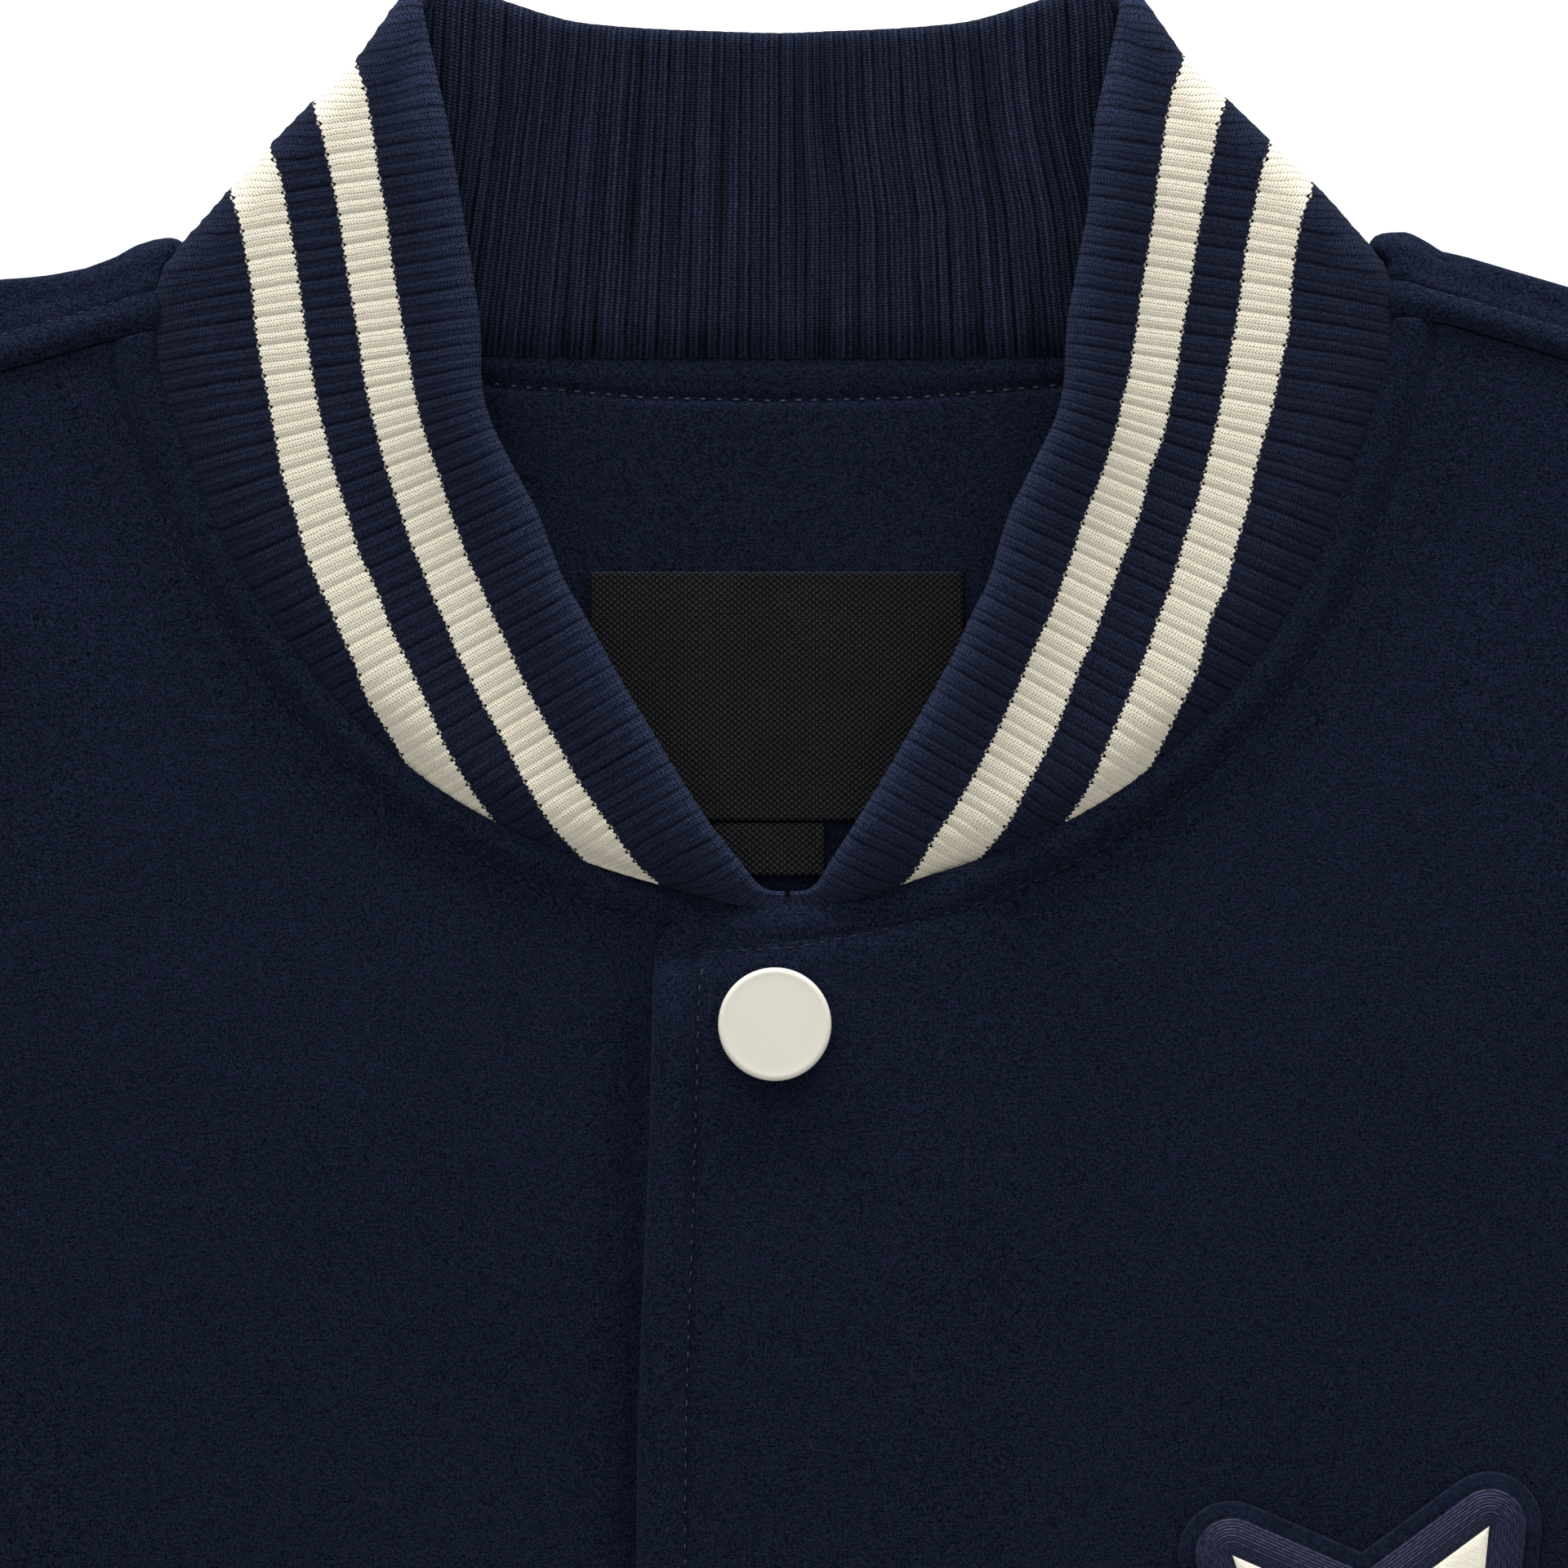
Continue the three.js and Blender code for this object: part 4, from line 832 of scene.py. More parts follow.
def front(s, name, node):
    total = L_FRONT[-1]
    seam_r = 0.7
    frame_end = float(np.interp(14, K_FRONT, L_FRONT))
    tab_top = float(np.interp(20, K_FRONT, L_FRONT))
    arcs = edge_steps(0.7) + list(np.arange(1.4, frame_end, 1.9)) + list(np.linspace(frame_end, tab_top - 1, 88))
    arcs += [tab_top - 1 + a for a in (0.5, 0.866, 1.0)] + list(np.linspace(tab_top, total - 1, 14)[1:])
    arcs += [total - a for a in edge_steps(1.0)[::-1][1:]]
    arcs = np.array(arcs)
    tab_row = int(np.argmin(np.abs(arcs - tab_top)))
    rows = catmull(FRONT_ROWS, np.interp(arcs, L_FRONT, K_FRONT))
    rows[tab_row] = FRONT_ROWS[20]
    outer_y = rows[:, 2]
    tab = outer_y < WAIST_Y
    outer_x = np.where(tab, side_x(WAIST_Y), side_x(outer_y) - np.where(outer_y > UNDERARM_Y, GAP / 2, 0))
    inner = rows[:, :2]
    outer = np.stack([outer_x, outer_y], -1)
    length = np.linalg.norm(outer - inner, axis=1)
    thick = OVERLAP_CLOTH if s > 0 else MELTON
    band = edge_steps(thick / 2, 4) + list(np.arange(thick / 2 + 0.5, 12, 0.55)) + list(np.linspace(12, TAB, 23))
    band = np.array(band)
    fr = np.linspace(0, 1, 60)[1:-1] ** 1.12
    angles = np.radians([90, 75, 60, 45, 32, 20, 11])
    cols = []
    for d in band:
        cols.append(np.full(len(rows), d))
    for f in fr:
        cols.append(TAB + (length - TAB - FOLD_R) * f)
    fold_cols = len(cols)
    for a in angles:
        cols.append(length - FOLD_R * (1 - math.cos(a)))
    D = np.stack(cols, 1)
    P = inner[:, None] + (outer - inner)[:, None] * (D / length[:, None])[..., None]
    x, y = P[..., 0], P[..., 1]
    z = front_height(s, x, y, D)
    real_x = x * s if s > 0 else -x
    off_star = smooth(56, 84, np.hypot(x - STAR_X, y - STAR_Y)) if s > 0 else 1.0
    z = z + creases(real_x, y, FRONT_CREASES) * smooth(14, 40, D) * smooth(4, 30, length[:, None] - D) * smooth(WAIST_Y, WAIST_Y + 50, y) * off_star
    # The turned seam allowance under the neckline stitching, and the trough of the stitches.
    neck = front_lines(9.2)
    dn = distance_to(P, neck)
    neckline = smooth(3.5, 9, x) if s < 0 else 1.0
    z = z + neckline * (0.85 * bell(dn, 3.0, 2.8) - (0.4 + 0.4 * smooth(25, 70, np.abs(x))) * bell(dn, 6.7, 1.05))
    if s < 0:
        z = z - 1.9 * bell(x, 23.3, 3.5) * smooth(-118, -140, y) * smooth(-638, -620, y)
    thin = np.ones(x.shape)
    if s > 0:
        dp = x + PLACKET
        down_front = smooth(-113, -124, y)
        z = z - 1.5 * bell(dp, 7.4, 0.95) * down_front
        z = z + 0.75 * bell(dp, 4.2, 2.1) * down_front
        z = z - 0.9 * (1 - smooth(0, 2.6, dp)) * down_front
        # Where it is sewn to the band the lap is pulled down to the layer under it.
        at_neck = (1 - smooth(1, 11, dn)) * (1 - smooth(14, 34, x))
        z = z - 1.7 * at_neck
        corner = bell(np.hypot(x + 21, y + 112), 0, 9)
        thin = 1 - 0.7 * np.maximum((1 - smooth(0.5, 6, dn)) * (1 - smooth(14, 30, x)), corner)
        z = z - 1.5 * corner * (1 - 0.8 * at_neck)
        edge_x = -2.6 * smooth(-119, -207, y) * smooth(-560, -300, y) * (1 - smooth(0, 26, dp))
        P[..., 0] = x + edge_x + neck_drift(y, dn)
        P[..., 0] -= 0.8 * smooth(-55, -38, y) * (1 - smooth(0, 14, dn))
        P[..., 1] = y + seam_drift(x) * (1 - smooth(0, 34, arcs))[:, None] + 1.5 * bell(x, 1, 9) * (1 - smooth(0, 16, dn)) * (y < -100)
    if s < 0:
        P[..., 0] -= 0.8 * smooth(-55, -38, y) * (1 - smooth(0, 14, dn))
    fold = side_fold(outer_y)[:, None]
    for i, a in enumerate(angles):
        j = fold_cols + i
        target = FOLD_Z + mix(FOLD_R, FOLD_R * math.sin(a), fold[:, 0])
        z[:, j] = mix(target, z[:, j], 0.0)
    M = np.concatenate([P, z[..., None]], -1)
    t = mix(OVERLAP_CLOTH, MELTON, smooth(PLACKET - 2, PLACKET + 10, x)) if s > 0 else np.full(x.shape, MELTON)
    ends = np.minimum(rounded(arcs, 0.7)[:, None], rounded(total - arcs, 1.0)[:, None])
    hem = np.where(D > TAB + 0.3, rounded(np.maximum(0, tab_top - arcs)[:, None], 1.0), 1.0)
    half_t = t / 2 * thin * np.minimum(np.minimum(rounded(D, thick / 2), ends), hem)
    mask = np.ones((len(arcs) - 1, D.shape[1] - 1), bool)
    mask[tab_row:, len(band) - 1 :] = False
    if s < 0:
        M[..., 0] *= -1
    return shell(
        name, M, half_t, half_t, M_WOOL, [node], uv=M[..., :2], mask=mask, up_at=(60, 70),
    )


# ---------------------------------------------------------------- back
def back_top_y(x):
    return np.where(x < NECK_HALF, back_neck_y(x), mix(0, SHOULDER[1], (x - NECK_HALF) / (SHOULDER[0] - NECK_HALF)))


BACK_CREASES = [
    ((-90, -70), (-190, -150), 18, -0.35), ((90, -80), (200, -170), 16, -0.35),
    ((-60, -250), (80, -300), 26, 0.4), ((-180, -330), (-60, -420), 20, -0.4),
    ((60, -420), (200, -380), 18, 0.4), ((-120, -540), (60, -520), 22, -0.35),
    ((120, -590), (210, -500), 18, 0.35), ((-200, -480), (-230, -610), 16, 0.35),
]


# Places along the shoulder from the middle, and how far the outline stands out there.
HUMP_RIGHT = ([94, 97, 100, 102, 105, 108.4, 113.3, 119, 123.6, 128, 140, 165], [0, 0.5, 0.4, 0.2, 0.1, -0.9, -1.3, -0.8, 0, 1.0, 1.2, 0])
HUMP_LEFT = ([94, 97, 98.7, 103, 105.8, 107.6, 112.4, 119, 130], [0, 0.3, 1.1, 1.5, 0.8, 0, 0.2, 0.1, 0])


def back():
    xs = list(np.linspace(0, 96, 29)) + [98.7, 100.2]
    neck_cols = len(xs)
    xs += list(NECK_HALF + (SHOULDER[0] - NECK_HALF) * 0.985 * np.linspace(0, 1, 66) ** 1.5)
    xs = np.array(xs)
    angles = np.radians([90, 75, 60, 45, 32, 20, 11])
    outer_list = list(np.linspace(-42, -285, 62)) + list(np.linspace(-285, -638.8, 60)[1:]) + [-639.3, -639.66, -639.8]
    outer = np.array(outer_list)
    top = np.interp(-outer, -BACK_ROWS[:, 0], BACK_ROWS[:, 1])
    fine = catmull(BACK_ROWS, np.linspace(0, len(BACK_ROWS) - 1, 600))
    top = np.interp(-outer, -fine[:, 0], fine[:, 1])
    top[0] = 1
    ox = side_x(outer) - np.where(outer > UNDERARM_Y, GAP / 2, 0)
    fold = side_fold(outer)
    scale = np.where(top < 1, ox / SHOULDER[0], 1.0)
    X = xs[None] * scale[:, None]
    Y = outer[:, None] + (back_top_y(xs)[None] - SHOULDER[1]) * top[:, None]
    Z = np.full(X.shape, FOLD_Z - FOLD_R)
    foldX = ox[:, None] - FOLD_R * (1 - np.cos(angles))[None]
    foldY = np.repeat(outer[:, None], len(angles), 1)
    foldZ = FOLD_Z - mix(FOLD_R, FOLD_R * np.sin(angles)[None], fold[:, None])
    lower = np.stack([np.concatenate([X, foldX], 1), np.concatenate([Y, foldY], 1), np.concatenate([Z, foldZ], 1)], -1)
    first = lower[0].copy()
    slope = math.atan2(-SHOULDER[1], SHOULDER[0] - NECK_HALF)

    def wrapped(inset, z):
        row = first.copy()
        on = row[:, 0] >= NECK_HALF - 1
        x = row[:, 0] - math.sin(slope) * inset * ((row[:, 0] - NECK_HALF) / (SHOULDER[0] - NECK_HALF))
        yy = back_top_y(x) - inset / math.cos(slope)
        rise = np.maximum(0, z - FOLD_Z) / FOLD_R
        neck = (1 - smooth(0, 20, x - NECK_HALF)) * np.minimum(rise, 1)
        reach = mix(-0.6, -4.0, 1 - smooth(0.8, 5.0, inset)) * (1 - smooth(0, 12, x - NECK_HALF)) * np.minimum(rise, 1)
        row[on] = np.stack([x + reach, yy - 0.1 * reach, z + 1.25 * neck], -1)[on]
        return row

    end = SEAM_FORWARD - GAP / 2
    end += GAP
    insets = [end - a for a in edge_steps(0.7)] + list(np.linspace(end - 1.3, 2.4, 18))
    rows = []
    for q in insets:
        z = FOLD_Z + FOLD_R
        from_seam = end - q
        z += 0.75 * float(bell(from_seam, 2.2, 2.2)) - 0.3 * float(bell(from_seam, 5.4, 0.9))
        rows.append(wrapped(q, z))
    for deg in np.linspace(90, -90, 13):
        a = math.radians(deg)
        rows.append(wrapped(FOLD_R * (1 - math.cos(a)), FOLD_Z + FOLD_R * math.sin(a)))
    wraps = len(rows)
    rows[-1][:neck_cols] = first[:neck_cols]
    M = np.concatenate([np.stack(rows), lower[1:]], 0)
    full = np.concatenate([M[:, :0:-1] * np.array([-1, 1, 1]), M], 1)
    centre = M.shape[1] - 1
    x, y = full[..., 0], full[..., 1]
    away = np.ones(full.shape[:2])
    away[:wraps] = 0
    away *= smooth(0, 40, -y - 42) * smooth(WAIST_Y, WAIST_Y + 40, y) * (1 - smooth(180, 232, np.abs(x)))
    z_in = creases(x, y, BACK_CREASES) * away
    mask = np.ones((full.shape[0] - 1, full.shape[1] - 1), bool)
    mask[: wraps - 1, centre - neck_cols : centre + neck_cols] = False
    # The outline over the shoulders isn't straight, and the cloth falls away toward it.
    reach = np.array(insets + [FOLD_R * (1 - math.cos(math.radians(a))) for a in np.linspace(90, -90, 13)])
    hump = np.where(x < 0, np.interp(-x, *HUMP_RIGHT), np.interp(x, *HUMP_LEFT))
    share = np.ones(full.shape[:2])
    share[: len(insets)] = (1 - smooth(2, 11, np.array(insets)))[:, None]
    share[wraps:] = 1 - smooth(0, 25, y[wraps - 1][None] - y[wraps:])
    full[..., 1] += hump * share
    full[: len(insets), :, 1] += np.where(x[: len(insets)] > 95, seam_drift(x[: len(insets)]), 0) * smooth(1, end, np.array(insets))[:, None]
    rise = np.clip((full[:wraps, :, 2] - FOLD_Z) / FOLD_R, 0, 1)
    drift = np.interp(-y[:wraps], NECK_DRIFT[:, 0], NECK_DRIFT[:, 1]) * (1 - smooth(0, 32, x[:wraps] - NECK_HALF))
    full[:wraps, :, 0] += np.where(x[:wraps] > 90, drift, 0) * rise
    beside = smooth(NECK_HALF - 3, NECK_HALF + 4, np.abs(x[:wraps]))
    full[:wraps, :, 2] -= (1.2 * (1 - smooth(0, 10, reach)) - 0.5 * bell(reach, 8.5, 3.5))[:, None] * rise * beside
    full[:wraps, :, 2] -= 0.55 * bell(np.abs(x[:wraps]), 108.8, 1.1) * rise
    close = 1 - smooth(0, 9, np.abs(x[: len(insets)]) - NECK_HALF)
    full[: len(insets), :, 1] -= 0.7 * close * smooth(end - 4, end, np.array(insets))[:, None]
    half = np.full(full.shape[:2], MELTON / 2)
    for j, q in enumerate(insets[:4]):
        half[j] *= rounded(end - q, 0.7)
    half[-1] *= 0.0
    half[-2] *= rounded(0.134, 1.0)
    half[-3] *= rounded(0.5, 1.0)
    # The inside of the back is its upper face while it lies on the table.
    lift = np.maximum(z_in, 0) * 0.6
    full[..., 2] += lift
    return shell("back_panel", full, half, half, M_WOOL, ["back"], mask=mask, up_at=(3, centre + neck_cols + 20))


# ---------------------------------------------------------------- sleeves and cuffs
def armhole(w):
    y = mix(SHOULDER[1], UNDERARM_Y, w)
    clear = smooth(0.72, 1, w)
    return side_x(y) - 0.3 + 0.4 * clear, y + 0.2 * clear


def sleeve_point(w, k):
    row = catmull(SLEEVE, k)
    v = k / (len(SLEEVE) - 1)
    ax, ay = armhole(w)
    sx = mix(SLEEVE[0][0], SLEEVE[0][2], w)
    sy = mix(SLEEVE[0][1], SLEEVE[0][3], w)
    keep = 1 - smooth(0, 0.45, v)
    return mix(row[..., 0], row[..., 2], w) + (ax - sx) * keep, mix(row[..., 1], row[..., 3], w) + (ay - sy) * keep


def ring_stations(r, n_flat, n_bend=8):
    """(side 0 upper edge or 1 lower edge or None, place or inset, rise) round a flat tube."""
    out = []
    for up in (1, -1):
        near = 0 if up > 0 else 1
        for a in np.linspace(0, 90, n_bend + 1):
            out.append((near, r * (1 - math.cos(math.radians(a))), up * r * math.sin(math.radians(a))))
        ws = np.linspace(0, 1, n_flat + 2)[1:-1]
        for w in ws if up > 0 else ws[::-1]:
            out.append((None, w, up * r))
        for a in np.linspace(90, 0, n_bend + 1)[:-1]:
            out.append((1 - near, r * (1 - math.cos(math.radians(a))), up * r * math.sin(math.radians(a))))
    out.append(out[0])
    return out


def place(st, width, r):
    near, q, _ = st
    if near is None:
        return r / width + (1 - 2 * r / width) * q
    return 1 - q / width if near else q / width


# Soft ridges and troughs of the sleeves: (place along, place across) from and to, half
# width in millimetres, height.
SLEEVE_CREASES = {
    1: [
        ((0.03, 0.30), (0.20, 0.16), 12, 1.0), ((0.02, 0.62), (0.16, 0.80), 11, 1.1),
        ((0.10, 0.48), (0.30, 0.40), 9, -0.8), ((0.26, 0.30), (0.44, 0.62), 12, 1.3),
        ((0.40, 0.20), (0.50, 0.55), 10, 1.1), ((0.47, 0.50), (0.58, 0.88), 9, -0.8),
        ((0.60, 0.12), (0.70, 0.55), 11, 1.0), ((0.70, 0.40), (0.80, 0.85), 9, 0.9),
        ((0.83, 0.15), (0.86, 0.80), 7, 1.0), ((0.90, 0.20), (0.92, 0.85), 6, 0.8),
    ],
    -1: [
        ((0.04, 0.22), (0.22, 0.30), 11, 1.0), ((0.03, 0.70), (0.18, 0.66), 12, 1.0),
        ((0.16, 0.52), (0.33, 0.60), 9, -0.8), ((0.30, 0.18), (0.41, 0.56), 11, 1.2),
        ((0.44, 0.35), (0.52, 0.80), 12, 1.2), ((0.54, 0.15), (0.64, 0.42), 10, -0.7),
        ((0.64, 0.45), (0.73, 0.90), 10, 1.0), ((0.76, 0.12), (0.82, 0.60), 9, 1.0),
        ((0.86, 0.30), (0.88, 0.90), 7, 0.9), ((0.93, 0.10), (0.94, 0.70), 5, 0.7),
    ],
}


def sleeve(s, name, node):
    st = ring_stations(FOLD_R, 40)
    last = len(SLEEVE) - 1
    ks = np.concatenate([np.array([0, 0.004, 0.014, 0.028]), np.linspace(0.06, last - 0.05, 110), [last - 0.03, last - 0.012, last - 0.004, last]])
    top = np.stack(sleeve_point(0.0, ks), -1)
    low = np.stack(sleeve_point(1.0, ks), -1)
    width = np.linalg.norm(top - low, axis=1)
    reach = np.concatenate([[0], np.cumsum(np.linalg.norm(np.diff((top + low) / 2, axis=0), axis=1))])
    M = np.zeros((len(ks), len(st), 3))
    across = np.zeros((len(ks), len(st)))
    for i, one in enumerate(st):
        w = place(one, width, FOLD_R)
        x, y = sleeve_point(w, ks)
        M[:, i] = np.stack([x, y, np.full(len(ks), FOLD_Z + one[2])], -1)
        across[:, i] = w
    flat = np.array([one[2] for one in st]) >= FOLD_R - 1e-6
    P = np.stack([np.broadcast_to(reach[:, None], across.shape), across * width[:, None]], -1)
    z = np.zeros(across.shape)
    for a, b, half, height in SLEEVE_CREASES[s]:
        pa = (a[0] * reach[-1], a[1] * np.interp(a[0] * reach[-1], reach, width))
        pb = (b[0] * reach[-1], b[1] * np.interp(b[0] * reach[-1], reach, width))
        d, t = segment_distance(P, pa, pb)
        z += height * np.exp(-((d / half) ** 2)) * (0.3 + 0.7 * np.sin(math.pi * (0.1 + 0.8 * t)))
    edge = smooth(0, 16, np.minimum(across, 1 - across) * width[:, None])
    ends = smooth(0, 14, reach)[:, None] * smooth(0, 10, reach[-1] - reach)[:, None]
    M[..., 2] += np.where(flat[None], z * edge * ends, 0)
    from_end = np.minimum(reach, reach[-1] - reach)
    half_t = MELTON / 2 * rounded(from_end, 1.0)[:, None]
    if s < 0:
        M[..., 0] *= -1
    return shell(name, M, half_t, half_t, M_WOOL, [node], ring=True, up_at=(60, 30))


def cuff(s, name, node):
    end = SLEEVE[-1]
    top, low = np.array([end[0], end[1]]), np.array([end[2], end[3]])
    axis = np.array([-(low[1] - top[1]), low[0] - top[0]])
    axis /= np.linalg.norm(axis)
    if axis[0] < 0:
        axis = -axis
    width = float(np.linalg.norm(low - top))
    r = CUFF_R
    # Places round the tube at equal steps of its length.
    outline = [(w, rise) for w, rise in ((place(one, width, r), one[2]) for one in ring_stations(r, 60, 12))]
    pts = np.array([(w * width, rise) for w, rise in outline])
    run = np.concatenate([[0], np.cumsum(np.linalg.norm(np.diff(pts, axis=0), axis=1))])
    ribs = round(run[-1] / RIB_PITCH)
    s_ = np.linspace(0, run[-1], ribs * 11 + 1)
    px, pz = np.interp(s_, run, pts[:, 0]), np.interp(s_, run, pts[:, 1])
    pitch = run[-1] / ribs
    # v is the distance from the lower, folded edge.
    v = np.array(list(edge_steps(RIB_BAND / 2, 4)) + list(np.linspace(RIB_BAND / 2 + 2, CUFF_LENGTH - 4, 9)) + [CUFF_LENGTH - 2.4, CUFF_LENGTH - 1, CUFF_LENGTH])
    M = np.zeros((len(v), len(s_), 3))
    for j, q in enumerate(v):
        p = top + (low - top) * (px / width)[:, None] + axis * (GAP + CUFF_LENGTH - q)
        M[j] = np.concatenate([p, (RIB_BAND / 2 + CUFF_R + pz)[:, None]], 1)
    outer = rib_outer(s_, pitch)[None]
    t = RIB_BAND / 2 * rounded(v, RIB_BAND / 2) * (0.6 + 0.4 * smooth(0, 4, CUFF_LENGTH - v))
    fade = rounded(v, RIB_BAND / 2)[:, None]
    up = t[:, None] + outer * fade * 0.8
    down = t[:, None] + rib_inner(s_, pitch)[None] * fade * 0.5
    # Knit stays on the table: the lower face is flattened where it would go below it.
    uv = np.stack(np.broadcast_arrays((s_ / pitch * RIB_PITCH)[None], v[:, None]), -1)
    if s < 0:
        M[..., 0] *= -1
    low_z = M[..., 2]
    up = np.where(low_z < RIB_BAND / 2 + CUFF_R, np.minimum(up, RIB_BAND / 2 + 0.0), up)
    return shell(name, M, up, down, M_BAND, [node], uv=uv, uv_down=uv + np.array([0, 1000.0]), ring=True, up_at=(8, 200))


def hem():
    r = CUFF_R
    middle = RIB_BAND / 2 + r
    edge = side_x(WAIST_Y) - 2
    start = TAB - PLACKET + GAP
    path = [(start, middle + r), (edge - r, middle + r)]
    for a in np.linspace(90, -90, 19)[1:]:
        path.append((edge - r + r * math.cos(math.radians(a)), middle + r * math.sin(math.radians(a))))
    path.append((0, middle - r))
    path = np.array(path)
    whole = np.concatenate([path, path[:-1][::-1] * np.array([-1, 1])])
    run = np.concatenate([[0], np.cumsum(np.linalg.norm(np.diff(whole, axis=0), axis=1))])
    ribs = round(run[-1] / RIB_PITCH)
    s = np.linspace(0, run[-1], ribs * 10 + 1)
    px, pz = np.interp(s, run, whole[:, 0]), np.interp(s, run, whole[:, 1])
    pitch = run[-1] / ribs
    height = -HEM_Y + WAIST_Y - GAP / 2
    v = np.array(list(edge_steps(RIB_BAND / 2, 4)) + list(np.linspace(RIB_BAND / 2 + 2, height - 4, 8)) + [height - 2.4, height - 1, height])
    M = np.zeros((len(v), len(s), 3))
    M[..., 0] = px[None]
    M[..., 1] = HEM_Y + v[:, None]
    M[..., 2] = pz[None]
    outer = rib_outer(s, pitch)[None]
    t = RIB_BAND / 2 * rounded(v, RIB_BAND / 2) * (0.6 + 0.4 * smooth(0, 4, height - v))
    fade = rounded(v, RIB_BAND / 2)[:, None]
    up = t[:, None] + outer * fade * 0.8
    down = t[:, None] + rib_inner(s, pitch)[None] * fade * 0.5
    up = np.where(M[..., 2] < middle, np.minimum(up, RIB_BAND / 2), up)
    uv = np.stack(np.broadcast_arrays((s / pitch * RIB_PITCH)[None], v[:, None]), -1)
    return shell("hem_band", M, up, down, M_BAND, ["hem_rib"], uv=uv, uv_down=uv + np.array([0, 1000.0]), up_at=(8, 100)), run[-1]


# ---------------------------------------------------------------- facing and labels
FACING_Z = FOLD_Z - FOLD_R + MELTON / 2 + GAP + 0.5


def facing():
    xs = np.linspace(-86, 86, 116)
    xs[0], xs[-1] = -86, 86
    downs = np.concatenate([edge_steps(0.5), np.arange(1.0, 14, 0.6), np.linspace(14, 126, 50)])
    rise = neck_rise(xs)
    top = back_neck_y(np.abs(xs)) - 0.5 + rise
    low = -150 + 52 * (xs / 86) ** 2
    M = np.zeros((len(downs), len(xs), 3))
    for j, q in enumerate(downs):
        f = q / 126
        ys = np.maximum(top - q * mix(1.0, (top - low) / 126, smooth(0, 0.6, f)), low)
        M[j] = np.stack([xs, ys, np.full(len(xs), FACING_Z)], -1)
    d = top[None] - M[..., 1]
    z = 0.35 * bell(d, 2.6, 2.2) - 0.42 * bell(d, 5.1 + rise[None], 0.75)
    z += creases(M[..., 0], M[..., 1], [((-70, -40), (-40, -62), 9, 0.5), ((-62, -30), (-36, -44), 6, -0.3), ((60, -36), (74, -66), 8, 0.4), ((38, -30), (60, -44), 6, -0.25)])
    M[..., 2] += z
    half = 0.5 * rounded(np.minimum(downs, 126 - downs), 0.5)[:, None] * np.minimum(1, (86.2 - np.abs(xs)) / 0.7)[None] ** 0.5
    half = np.maximum(half, 0.0)
    return shell("neck_facing", M, half, half, M_FACING, ["back_neck_facing"], up_at=(20, 50))


def tag(name, node, x, top, w, h, t, z, sag=0.0):
    xs = np.concatenate([edge_steps(t / 2), np.linspace(t, w - t, 60), [w - a for a in edge_steps(t / 2)[::-1]]]) + x - w / 2
    ys = np.concatenate([edge_steps(t / 2), np.linspace(t, h - t, 40), [h - a for a in edge_steps(t / 2)[::-1]]]) + top - h
    X, Y = np.meshgrid(xs, ys)
    dx = np.minimum(X - (x - w / 2), x + w / 2 - X)
    dy = np.minimum(Y - (top - h), top - Y)
    half = t / 2 * np.minimum(rounded(dx, t / 2), rounded(dy, t / 2))
    Z = np.full(X.shape, z + t / 2) + sag * np.sin((X - x) / 13.0) * np.sin((Y - top) / 11.0 + 0.6)
    return shell(name, np.stack([X, Y, Z], -1), half, half, M_LABEL, [node])


# ---------------------------------------------------------------- snap caps
def snap(number):
    y = SNAP_FIRST - (number - 1) * SNAP_PITCH
    z = float(front_height(1, np.array(SNAP_X), np.array(y), np.array(30.0))) + OVERLAP_CLOTH / 2 + GAP
    r, t = SNAP_R, SNAP_T
    profile = [(0.001, 0), (r - 0.7, 0), (r - 0.3, 0.12), (r - 0.06, 0.45), (r, 0.9), (r, t - 0.8), (r - 0.05, t - 0.5), (r - 0.17, t - 0.25)]
    profile += [(r - 0.36, t - 0.09), (r - 0.6, t - 0.015), (r - 0.8, t), (r - 1.05, t - 0.02), (r - 1.4, t - 0.04), (r - 1.9, t - 0.055), (r - 2.6, t - 0.06), (r - 5, t - 0.06), (0.001, t - 0.06)]
    n = 112
    a = np.linspace(0, 2 * math.pi, n + 1)
    P = np.array(profile)
    V = np.stack([SNAP_X + P[:, 0][:, None] * np.cos(a), y + P[:, 0][:, None] * np.sin(a), np.broadcast_to((z + P[:, 1])[:, None], (len(P), n + 1))], -1)
    index = np.arange(len(P) * (n + 1)).reshape(len(P), n + 1)
    index[:, -1] = index[:, 0]
    quads = np.stack([index[:-1, :-1], index[:-1, 1:], index[1:, 1:], index[1:, :-1]], -1).reshape(-1, 4)
    caps = [index[0, :-1][::-1][None], index[-1, :-1][None]]
    flat = V.reshape(-1, 3)
    uv = flat[:, :2]
    return make_mesh(f"snap_cap_{number}", flat, [quads, *caps], [uv[quads], *[uv[c] for c in caps]], M_SNAP, [f"snap_{number}"])


# ---------------------------------------------------------------- chest star
def star_tips():
    a = math.pi / 2 - STAR_TILT + np.arange(10) * math.pi / 5
    q = np.where(np.arange(10) % 2, STAR_R * STAR_INNER, STAR_R)
    return np.stack([STAR_X + q * np.cos(a), STAR_Y + q * np.sin(a)], -1)


